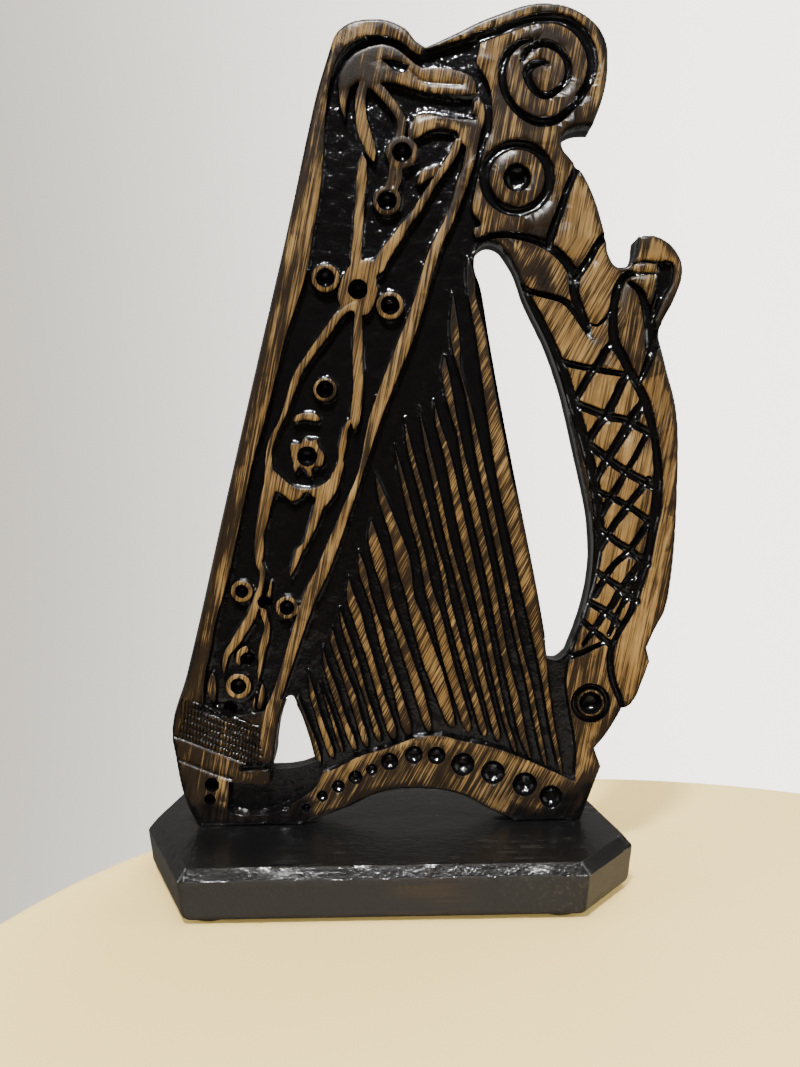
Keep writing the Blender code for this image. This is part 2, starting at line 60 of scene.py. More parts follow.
# Carving, in mm
CELL = 0.36  # grid spacing
BOARD_FACES = 190000  # triangles left after thinning out the flat places
REACH = 3.0  # how far from its edge a shape's distance is known
GROUND_DEPTH = 3.2
LINE_DEPTH = 2.4
LATTICE_DEPTH = 2.3
FOOT_DEPTH = 5.0
RING_HOLE_DEPTH = 4.2
PLAIN_HOLE_DEPTH = 5.5
DEEPEST = 9.0
RAISED = 0.15  # raised carving ends this far below the uncut face
EDGE_ROUND = 1.3
BACK_ROUND = 0.9
STRING_WIDENING = LATTICE_WIDENING = 1.12  # the drawing's widths leave out their soft edges
STRING_FOOT = 2.5  # how far the strings run on below their drawn feet, under the stain
ARCH_TOP = 8.0  # from the row of dimples up to where the strings' feet are black
OUTLINE_STEP = 0.5
OUTLINE_CORNER = math.radians(38)
WALL_ROWS = (0.12, 0.35, 0.6, 0.82, 1.0)  # shares of the way from the front edge to the back's round
WALL_WAVE = 0.07
BACK_STEP = 3.2
PLINTH_STEP = 1.6
GRAIN_LEANS = (12, 30)  # degrees from upright
BROAD_GRAIN = (0.4, 0.28)  # share of the broad streaks at each lean
GRAIN_CONTRAST = 2.2
HALO = 0.9  # mm that the stain spreads from carved edges
RIM_STAIN = 1.9  # mm that it spreads from the outline

# Floor, light and wall
FLOOR_CENTRE, FLOOR_RADIUS = (66, -102), 215
FLOOR_COLOUR = (1.0, 0.73, 0.24)
FLOOR_GLOW = 0.27
# the wall seen by the camera is painted darker at the left and brighter at the right: painted shade and
# painted light
WALL_LEFT_PAINTED_SHADE, WALL_RIGHT_PAINTED_LIGHT = (0.95, 0.89, 0.77), (4.2, 3.95, 3.65)
ROOM_FRONT, ROOM_BEHIND = (0.04, 0.04, 0.04), (0.2, 0.195, 0.185)
FLOOR_MIRRORED = 0.06  # the floor's brightness in the lacquer's reflections
FLOOR_EDGE_ROUND, FLOOR_EDGE_DROP = 14, 60
CAMERA_PLACE = (-2.83, -349, 135.2)
CAMERA_DIP, CAMERA_ROLL = 2.78, -1.0  # degrees
CAMERA_SENSOR = 36
CAMERA_LENS = CAMERA_SENSOR * 1000 / 1067
LIGHT_TARGET = (0, 0, 0.15)
LIGHTS = [  # name, place, diameter, power
    ("key", (-0.15, -0.75, 1.15), 0.13, 24), ("glints", (-0.05, -0.7, 1.1), 0.09, 130),
    ("left", (-1.3, -0.25, 0.5), 0.9, 14), ("right", (1.3, -0.35, 0.6), 0.9, 12),
    ("top", (0.1, 0.25, 1.5), 1.0, 14), ("behind", (0.6, 0.9, 1.5), 0.9, 18),
]


# ---------------------------------------------------------------- drawing: soundbox
# A point given twice is a corner. A third number is a width.
PANEL = [
    (-61, 42), (-60, 53), (-58, 61), (-56, 71), (-52.5, 82), (-49.5, 93), (-41.5, 127), (-37.5, 139.5),
    (-29, 170), (-26, 178), (-21.5, 191.5), (-19.5, 203), (-16.5, 219), (-14, 246), (-12, 255), (-8, 263),
    (-2.5, 266.7), (5, 267.2), (10.5, 265.6), (17, 261), (20, 262.4), (28, 264.8), (36, 266.5),
    (37.5, 264), (36.5, 258), (40, 252), (41.3, 246), (41, 236), (38, 231), (34, 226), (30.5, 222),
    (27, 212), (24.5, 206), (20, 197.5), (16.8, 188.8), (13.8, 179), (-1.3, 142), (-6, 122), (-11, 111),
    (-17, 98), (-20.5, 90), (-26, 79), (-36, 49), (-40, 40), (-40, 40), (-50, 39), (-61, 42), (-61, 42),
]
BIRD_HEAD = [
    (-10, 250.5), (-10, 255), (-5.8, 261.2), (-2.5, 263.2), (5, 265), (10.3, 263), (15.7, 258.5),
    (18.4, 256.8), (18.4, 256.8), (23, 257), (28.3, 256.3), (34.4, 254), (36, 252), (36.3, 249),
    (36, 246.5), (36, 246.5), (30, 246.6), (19.5, 248.4), (14.5, 249.8), (9.4, 251.6), (4.7, 252),
    (0, 250), (-3, 252.5), (-6, 250.5), (-8, 249.5),
]
FEATHERS = [
    [(-8, 252, 4.4), (-8.6, 245, 2.4), (-8.1, 240, 0.5)],
    [(-1.6, 252, 3.4), (-2.8, 247, 4), (-2.6, 241, 4.2), (-1.8, 236.5, 4.8), (0.5, 229.5, 3.6),
     (1.3, 226.3, 1)],
    [(2.5, 251, 4), (5, 248.5, 3.8), (10.6, 240.5, 3.4), (10.9, 237, 3.4), (9.5, 233, 3.4),
     (8, 229.5, 3)],
]
EYE_SLIT = [
    (4.8, 259.6), (9, 259.3), (13.8, 257.6), (13.8, 257.6), (11.9, 255.3), (8.8, 256.2), (6.8, 257.9),
]
LINTEL = [
    (13.2, 233.5), (13, 237), (14, 240.5), (15.5, 242.8), (18, 243.8), (28, 242), (34, 241), (36, 248.5),
    (38, 246), (39.2, 242), (38.7, 238), (33, 218), (30.7, 212.4), (28.5, 217), (30.5, 222), (32.4, 230),
    (32.4, 230), (30, 233.5), (29.3, 235.5), (23.2, 236.5), (19.7, 235.7), (16, 233.5),
]
LINTEL_BEVEL = [(14.2, 239.5, 1.4), (15.6, 241.8, 2.4), (19, 242.8, 3), (31, 240.8, 2.8), (35.4, 240.2, 2)]
BEAK_BEVEL = [(13, 249.8, 1), (20, 247.9, 1.8), (27, 246.9, 2.2), (35.6, 246.6, 2.2)]
GOLD_WEDGE = [(16.8, 222.3), (19.2, 223.9), (23.7, 225), (22.3, 221.5), (15.8, 218)]
BOX_RIBS = [
    # between the upper rings
    [(8.6, 226, 4.4), (8.4, 221, 5), (6.6, 216, 5.2)],
    # from the lintel down to the boss
    [(29.8, 232, 3), (27.7, 227.3, 3), (22.3, 220, 2.5), (17.6, 212.8, 3), (15.2, 209, 2.8),
     (12, 205.4, 3), (9, 201, 3.6), (5.5, 196.5, 4.2), (2, 191, 5)],
    # upright rib
    [(-2.6, 229, 0.8), (-2.4, 226, 3), (-2.8, 221, 3.8), (-3.5, 214, 3.6), (-4.4, 203, 3.6),
     (-5.2, 194, 4), (-5, 183, 4), (-4.8, 176, 3), (-5.1, 170, 3.5), (-5.4, 160, 3.8), (-5.3, 151, 3.8),
     (-6.6, 140, 3.6), (-6.8, 136.5, 1.4)],
    # from the boss down to the left
    [(-8, 178.5, 4), (-11.5, 175.2, 3), (-15.3, 170, 3), (-22.5, 160.6, 2.6), (-25.5, 156, 2.8),
     (-27.4, 151.7, 2.8), (-30.6, 142.8, 2), (-32.5, 138.6, 1.6), (-34.6, 134.7, 2.2),
     (-36.2, 129.4, 2.4), (-36.5, 124, 3), (-36.2, 118, 4.6), (-37.8, 112.5, 4.6), (-39, 107, 4.2),
     (-40.2, 101, 3.4), (-40.6, 95, 3.6), (-40.6, 91, 2.6), (-39.5, 88, 2.4), (-40.2, 83, 2.2),
     (-41.5, 79.5, 2.8), (-43.4, 73.5, 3.4), (-47.5, 67, 3.6), (-50, 63.2, 3.2), (-52.4, 60, 2.4),
     (-53.4, 56.5, 1.8), (-53.8, 53, 0.8)],
    # right of the rosette and down to the lower rings
    [(-8.6, 139, 1.6), (-10.2, 136, 2.2), (-10.7, 133, 2.6), (-11.6, 129.5, 3), (-12.8, 124, 3),
     (-14.4, 118, 4), (-17.6, 113.5, 5), (-19.8, 110, 3.6), (-21, 106, 3.4), (-25, 97, 2),
     (-26.8, 95, 2.6), (-28.4, 90.7, 2.2), (-30, 86.5, 0.8)],
    # the lower right branch
    [(-39.8, 76, 2.6), (-39.2, 72.5, 2.4), (-38.4, 69.7, 2.3), (-39, 65.5, 2.8), (-40.2, 61.2, 2.8),
     (-40.7, 57.7, 2.2), (-41.3, 53.5, 1.8), (-42, 50, 0.6)],
    # sliver right of the rib's end
    [(-36.6, 84.5, 1.2), (-37.2, 81, 1.6), (-38.6, 77.5, 3)],
]
BOSS = [
    (-7.1, 192), (-9.6, 188.9), (-11.6, 183.5), (-11.9, 180.4), (-10.6, 177.5), (-7.2, 176.3),
    (-2.3, 174.8), (0.2, 177.6), (2, 183), (1.7, 187.8), (3.9, 191.2), (0.5, 193.5), (-3.4, 193.5),
]
CRESCENT = [
    (-27.8, 138.9), (-27.5, 141), (-24.7, 142.4), (-20.6, 142.3), (-18.3, 140), (-19.6, 139),
    (-24, 139.7),
]
STAR = [
    (-28.8, 132), (-25.3, 132), (-24.5, 133.8), (-19.7, 133.2), (-19.4, 131.2), (-17.4, 128),
    (-18.2, 124), (-20.2, 123.8), (-21.4, 124.2), (-22.2, 120), (-23.8, 122.2), (-25.2, 125),
    (-27.4, 121.8), (-28.6, 126.2),
]
STAR_HOLES = [
    (-27.6, 133.6, 1.9), (-21.9, 134, 1.6), (-15.7, 130.4, 2.7), (-30.6, 124.4, 2.7),
    (-18.8, 121.5, 2.5), (-24.7, 121.8, 1.3),
]
BELOW_ROSETTE = [
    (-37, 122), (-35, 123), (-29, 118), (-23.5, 116.6), (-18, 118), (-14, 122), (-12, 127), (-10.5, 124),
    (-16.5, 113), (-20, 112.5), (-24, 115), (-26, 113), (-29, 112), (-32, 114.5), (-35, 116),
]
FOOT_PIECES = [
    [(-47.5, 62.1), (-45.4, 62.7), (-45, 60.6), (-47.3, 58.5), (-48, 55.5), (-49.4, 56.8), (-49.4, 60)],
    [(-57.3, 53.7), (-56.4, 50), (-57, 43), (-59, 44.5), (-59.8, 48.5), (-58.3, 53)],
    [(-40.5, 49.6), (-39.5, 46.3), (-41, 40.5), (-42.5, 40.3), (-42, 44.6)],
    [(-43, 45.7), (-43.2, 40), (-45, 38.6), (-44.6, 41)],
]
# Bored rings of the soundbox: x, height, outer radius, hole radius
BOX_RINGS = [
    (10.9, 229, 5.6, 2.9), (5.6, 213, 5, 2.9), (-15.8, 187.6, 5, 2.8), (6, 178, 4.9, 2.8),
    (-16.7, 150, 4.2, 2.6), (-46.8, 81.5, 4, 1.9), (-31.4, 75.6, 4.1, 2.2), (-48.8, 48.6, 4.6, 2.4),
    (-23.3, 127.4, 4.4, 3.1),
]
# Plain holes: x, height, radius
HOLES = [
    (-4.9, 183.6, 3), (-39.1, 77.6, 1.9), (-45.5, 57.8, 2.1), (-52.2, 40.4, 2.2), (-58.7, 14.3, 2.1),
]

# ---------------------------------------------------------------- drawing: strings
STRING_FIELD = [
    (36, 197.5), (34.5, 203), (37, 204.5), (34.4, 209), (34.8, 214), (38.4, 229), (40, 236),
    (38.2, 236.5), (35.6, 226), (33, 218), (28, 205.7), (24, 197.8), (15, 169.5), (2.9, 141),
    (-6.1, 115.6), (-16, 89), (-22.2, 76), (-34, 44), (-34, 44), (-27, 40), (-22.6, 24.5), (-22.6, 24.5),
    (-20.5, 19.5), (-18, 18.5), (-8, 23.2), (2.2, 26.3), (12, 29.6), (20, 30.4), (28, 28.4), (36.5, 26.5),
    (48, 22.4), (67, 13.5), (67, 13.5), (67.6, 25), (64.6, 46), (65, 53), (65.5, 60), (60, 59),
    (56.8, 66), (42.5, 146), (36.6, 182), (34.4, 193),
]
# Each string as (x, height, width), from its foot upwards
STRINGS = [
    [(-22.4, 24, 3), (-24, 30, 2.6), (-26.4, 37, 2.2), (-28.4, 44, 1)],
    [(-17.6, 26, 2.4), (-20.8, 36, 2), (-23.2, 45, 2), (-24.6, 53, 0.5)],
    [(-14, 27.5, 1.4), (-17.9, 41, 1.1), (-20.6, 49, 0.4)],
    [(-9.8, 28.5, 2.3), (-13.3, 38.5, 2), (-15.2, 45, 2.3), (-18.4, 55.3, 1.7), (-19.4, 62, 0.5)],
    [(-5.5, 29.6, 2.4), (-8.2, 39.5, 2.3), (-9.2, 43.6, 2.7), (-12.7, 54, 2), (-15.6, 63.3, 2),
     (-15.9, 68.5, 0.5)],
    [(-1.1, 31.5, 2.3), (-4.6, 43.5, 1.5), (-7.9, 55, 2.2), (-9.7, 61.5, 1.8), (-11.9, 68.4, 1.7),
     (-13.3, 75.5, 0.4)],
    [(3.9, 32.5, 3.2), (0, 46, 2.5), (-3.5, 59, 2.6), (-5.4, 65, 2.8), (-7.2, 72, 3.3), (-9.4, 79, 2.8),
     (-10, 86, 0.5)],
    [(9, 34, 3.3), (5.7, 47.4, 2.6), (2.2, 59.5, 2.3), (0.4, 67, 2.2), (-1.4, 74, 1.6),
     (-3.1, 79.7, 1.7), (-5.1, 87.7, 2.7), (-6.2, 94.5, 0.5)],
    [(16.2, 35, 2.8), (13.2, 46.7, 3.3), (4, 76.7, 2.6), (2.4, 83.6, 3.1), (0.8, 90.5, 4.2),
     (-1.4, 99.6, 3.2), (-1.7, 105.5, 0.5)],
    [(24, 36.5, 3.4), (20.1, 49.4, 5), (17.9, 55.8, 5.2), (13, 72, 4), (11.4, 77.7, 2.9),
     (8.8, 91, 4.8), (6.6, 99.5, 3.7), (2.3, 112, 2.8), (0, 121, 0.5)],
    [(29.8, 34.5, 3), (23.6, 57, 3.4), (19.9, 73, 3.3), (17.7, 80.5, 2.7), (15.1, 94.8, 2),
     (12.4, 105, 2.1), (8.4, 122.7, 1.4), (6.6, 131, 0.4)],
    [(35.4, 33, 2.6), (24.7, 74, 2.2), (22.4, 87.3, 1.8), (19.7, 97.6, 1.5), (16.2, 112.5, 2),
     (11.6, 130.5, 1.7), (10.2, 140, 0.4)],
    [(40.2, 31, 2.4), (35.6, 50, 2.4), (30.4, 74, 2.3), (24.8, 96.3, 1.8), (21.6, 112, 2),
     (17.7, 130.4, 1.6), (15, 144, 0.4)],
    [(46, 26.5, 1.6), (43.1, 36, 1.7), (36.4, 69, 2.4), (28.9, 104.8, 3), (24.9, 126, 2.4),
     (21.7, 137.6, 1.8), (20.4, 146, 0.4)],
    [(50.9, 24.5, 1.6), (49.3, 29.5, 2.5), (46.9, 42, 2.7), (43.4, 57.7, 2.4), (39, 83, 2.6),
     (33.2, 110.7, 2.7), (29.8, 127, 1.8), (28.6, 134.5, 1.3), (26.9, 141, 2.1), (24.4, 155, 2.6),
     (24.1, 161, 0.5)],
    [(56.7, 21.5, 1.6), (54.4, 32.6, 1.9), (51.6, 48, 2), (48, 63, 1.8), (39.9, 104.6, 2.4),
     (36, 124, 2.3), (32.7, 142.3, 1.5), (31, 149.5, 1), (29, 157.4, 1.3), (28.2, 163.5, 2.8),
     (27.7, 170, 3), (27.4, 182, 0.5)],
    [(62.2, 18.5, 1.4), (59.4, 33.4, 2), (57.3, 48, 2.3), (56, 58, 3.4), (51.5, 83, 5),
     (47.2, 104.4, 5.4), (43.7, 121, 4.9), (38.1, 157, 3.7), (36.6, 168, 3.4), (34, 180, 2.6),
     (33.6, 185, 3), (33.1, 190, 2.2), (32.8, 194, 0.6)],
]
STRING_FADE = [(-36, 44), (-12, 96), (2, 128), (20, 158), (36, 190)]  # the strings are black near this line

# ---------------------------------------------------------------- drawing: neck, hook and pillar
LINES = [
    # the arch groove round the scroll
    [(18.5, 262, 1.6), (24, 261.5, 3.4), (31, 263, 3.6), (37.6, 266.4, 4.2), (43.6, 268.2, 3.6),
     (49.6, 270.3, 3.8), (55.6, 272, 3.8), (61.6, 272.3, 4), (66, 271.4, 4.4), (70, 269, 4.6),
     (72.8, 265.6, 4.4), (74.8, 261.5, 4.2), (75.4, 257, 4), (74.8, 253, 3.6), (73, 249.4, 3.2),
     (70.5, 246, 3)],
    # the spiral, from outside to inside
    [(74, 252.5, 2), (72, 247.6, 2.6), (69.4, 244, 2.6), (63.7, 239.3, 3.2), (60, 238.2, 3.6),
     (55.3, 238.7, 3.4), (50.8, 241.3, 3), (47.4, 245.2, 2.8), (45.6, 249, 2.8), (44.9, 253.3, 3),
     (45.4, 257.6, 3), (47.4, 261.5, 2.8), (50.8, 264.2, 2.2), (55, 265.3, 1.4)],
    [(51.5, 258.5, 1.6), (54, 262.3, 2.6), (58.5, 264, 2.8), (63, 262.6, 2.8), (65.9, 259.7, 2.6),
     (67.2, 255.6, 2.6), (66.4, 251.6, 2.4), (63.7, 248.8, 2.2), (60.1, 246.8, 2.6), (56.8, 247.8, 2.8),
     (54.3, 250.8, 3), (53.4, 254.6, 3.4), (55.3, 257, 3.2), (58.5, 257.8, 2.4), (61, 256.8, 1)],
    # over the big opening
    [(36, 199, 2), (39.2, 200.3, 2.4), (42.5, 201, 2.4), (47.3, 200.9, 2.6), (56.4, 198.6, 3.2),
     (63.7, 194, 3.6), (67, 190, 3.8), (68.6, 186, 3.8), (68.6, 181, 3.6), (71.5, 173, 3),
     (73.8, 168.5, 1.6)],
    # beside the leaves
    [(70, 224.5, 2.4), (68.6, 220.5, 2.8), (66.4, 215.5, 2.8), (64.6, 210.5, 2.8), (60.6, 199.5, 3.4),
     (60.2, 196.6, 2)],
    [(78.4, 199.5, 3), (76, 196.5, 2.8), (74, 193, 3), (71.6, 189.5, 3.2), (69, 186, 3)],
    [(50.6, 184.6, 1.6), (53.4, 182.1, 2.1), (62.2, 179.6, 2.4), (65.5, 178.2, 2.6), (68.2, 175.4, 2.8),
     (72.7, 168.4, 2.4), (74.4, 165.5, 1.2)],
    [(74.2, 170.5, 1), (76, 170, 1.2), (79.2, 172.6, 1.4), (80.6, 175.2, 1.2)],
    # the S line of the pillar
    [(89.2, 187.4, 1.4), (86.6, 187, 2.6), (84.4, 184.8, 3), (82.8, 181, 3.2), (81.9, 175.6, 3.2),
     (81.6, 169, 3.6), (82.2, 164, 4), (84.6, 159.8, 3.6), (86.6, 155.6, 3.4), (91.2, 147, 3.6),
     (92.9, 142.6, 3.6), (95.4, 132.5, 3), (96.6, 120.8, 3.3), (96.4, 114, 3.8), (95.8, 106.4, 3.9),
     (94.7, 100, 3.4), (93.7, 94.8, 3.3), (92.4, 89.4, 3.5), (87.4, 73.2, 2.6), (82.8, 65, 2.3),
     (80.6, 60.6, 2.6), (79.7, 56.3, 2.6), (80, 51.2, 2.6), (81.2, 46.4, 2.6), (82.8, 42.2, 2.4),
     (83.8, 38.6, 1.8)],
    # along the pillar's inner edge
    [(42, 197.6, 0.8), (44, 193.6, 1.8), (46.8, 189.4, 2.6), (56.6, 172.6, 3.2), (64.6, 154.6, 3.7),
     (66.8, 147, 3.9), (69.4, 138.6, 4), (74.4, 119, 4.1), (76.4, 103.6, 3.8), (76.2, 96.4, 3.7),
     (74.1, 83.8, 3.3), (70.1, 71.2, 3.2), (67.9, 65.6, 2.9), (66.4, 60.4, 2.6), (64.6, 56, 2.2)],
    # from the big opening's bottom to the S line
    [(64.6, 56.4, 2.2), (69.5, 58, 2.2), (78.6, 61.8, 1.8), (82, 61.6, 1.4)],
    # round the hook
    [(94, 162, 3.4), (94.4, 168, 4.4), (92, 178.5, 3), (90.2, 182, 2.6), (87.6, 184, 2)],
    [(97.2, 168.6, 2.6), (95.6, 164, 3.6), (94, 158.6, 3.4), (92.2, 154.2, 2.8), (90.5, 150.6, 1.6)],
]
LATTICE = [
    [(62.5, 158.7, 2), (67.5, 157, 2.4), (85, 153.4, 2)],
    [(67.5, 144.2, 3), (80.5, 139, 3), (84.6, 138.2, 2.8), (89.6, 135.8, 2.8), (94.6, 132.8, 2.4)],
    [(71.5, 130.6, 3), (76.7, 127, 3), (79.6, 124.6, 2.8), (84.5, 121.1, 3.1), (95, 115, 3)],
    [(74.6, 114.2, 2.4), (79.5, 112.1, 2.2), (84.4, 109.6, 2.4), (87.7, 107.6, 2.2), (94.5, 102.6, 2.8)],
    [(75.6, 102, 2.4), (81.4, 97, 2.5), (85.6, 94, 2.8), (93, 88.4, 2.8)],
    [(74.4, 86.6, 2.4), (78.4, 84, 2.2), (82.2, 81.1, 2.8), (85.9, 78.4, 3), (89, 75.6, 2.8)],
    [(71.8, 76.2, 2.4), (78.4, 72.2, 2.8), (82.2, 68.6, 2.3), (83.6, 66.6, 1.6)],
    [(69.4, 70, 2), (80.4, 60.4, 2.4)],
    [(67.4, 143, 2.6), (74, 154.2, 2.8), (76.9, 157.8, 2.8), (79, 161.4, 2.6), (81.6, 164.6, 2.4)],
    [(71.5, 129, 2.8), (76.8, 137, 3), (79.7, 140.8, 3.1), (82.6, 146.2, 3), (84.3, 150.2, 3),
     (86.4, 153.6, 2.5)],
    [(74, 114.6, 2.4), (77.5, 121.8, 2.8), (84.6, 132.8, 3.5), (87.9, 138.3, 3.8), (92, 144, 3.2)],
    [(76.4, 104, 2.3), (79, 109, 2.5), (81.6, 113.3, 2.7), (86.2, 121.1, 2.1), (88.7, 125.1, 2.1),
     (92.6, 132.6, 2.1)],
    [(76.4, 93.5, 2.4), (81.5, 102.3, 2.5), (84.4, 105.9, 2.7), (87.3, 110, 2.5), (93.4, 117.4, 2.6)],
    [(74.8, 78, 2.4), (79.3, 85.8, 2.4), (82.2, 89.4, 2.2), (86, 92.5, 2.4), (94, 104, 2.4)],
    [(70.6, 61, 1.6), (74.5, 66.4, 2.1), (76.7, 69.9, 2.4), (80.6, 74.5, 2.5), (82.6, 78.1, 2.8),
     (89.3, 86.6, 3.7), (92, 90.8, 3.2)],
    [(79.4, 64.4, 1.8), (81.4, 68.8, 2), (83.2, 73.2, 1.8), (85.9, 77.3, 2.4), (89.2, 81.4, 2.4)],
]
THIN_LINES = [
    [(100.3, 141.8), (95.9, 132)], [(97.9, 146.8), (94.7, 139.6)], [(100.7, 132.8), (97, 125)],
    [(101.9, 122.8), (99, 116.7)], [(102.1, 115.8), (98.9, 108.4)], [(101.6, 104), (97, 94)],
    [(100, 92), (92.4, 76)], [(98.2, 84), (90, 68)],
]
HOOK_DROP = [
    (97, 190.6), (101.6, 191), (102.4, 188.4), (101.7, 184), (98.5, 178), (95, 170.4), (94, 174.4),
    (95.6, 179.5), (96.8, 185.5),
]
HOOK_CUTS = [
    [(88.6, 190.3, 1.2), (92.4, 191.2, 1.6), (96.4, 190.8, 1.8), (99, 190.4, 1.6)],
    [(86.2, 185.4, 1), (89.2, 186.6, 1.4), (92.6, 187.2, 1.6), (96, 187, 1.6)],
]
HOOK_SLIVER = [(97, 180), (96, 176.6), (95, 172.4), (94.9, 175.4), (95.9, 178.8)]

# Rings cut into the neck and pillar: x, height, inner and outer radius of the groove, hole radius
CUT_RINGS = [(49.6, 219.9, 9.2, 13, 4.4), (72.9, 40.6, 4.6, 6.9, 3.6)]

# ---------------------------------------------------------------- drawing: arch band and foot
FOOT_GROUND = [
    (-53, 5), (-52.8, 10), (-52.6, 14.8), (-52.6, 14.8), (-39.6, 14), (-38.4, 16), (-37.6, 20.5),
    (-28, 22), (-20.5, 21), (-22.9, 13.1), (-29, 8.6), (-36, 4.8), (-44, 3.4),
]
FOOT_LIP_CUT = [(-49, 20.4), (-45, 21.4), (-39.4, 21.2), (-39, 19.6), (-45, 19.3), (-49, 19)]
# Dimples of the arch band: x, height, radius
ARCH_DIMPLES = [
    (-33.3, 5.8, 1), (-26.2, 5.5, 1.5), (-20.6, 9.6, 2), (-14.9, 12.9, 2.3), (-8.9, 16, 2.5),
    (-3.2, 18.6, 2.1), (3, 21.3, 3.1), (11.5, 23.5, 3.2), (19.3, 23.2, 3.2), (28.4, 19.9, 4.1),
    (38.8, 16.9, 4.2), (49.8, 12.5, 4.3), (58.8, 8.1, 4),
]
STEP_LINE = [(-72, 24.3, 1.4), (-55.8, 17.6, 1.8), (-52, 16.4, 1.8)]
WEAVE_START, WEAVE_END = (-71.5, 31.7), (-42, 19.6)  # the band's lowest long cut
WEAVE_ROWS, WEAVE_PITCH = 7, 2.3
WEAVE_COLUMNS, WEAVE_COLUMN_PITCH = 25, 1.2
LOWEST_HOLE = (-59.6, 9.1, 1.6, 4)  # x, height, radius, depth
BAND_LUMPS = (-53, 40.3, 12, 3.2)  # where the lacquer is lumpy above the woven band: middle and reach

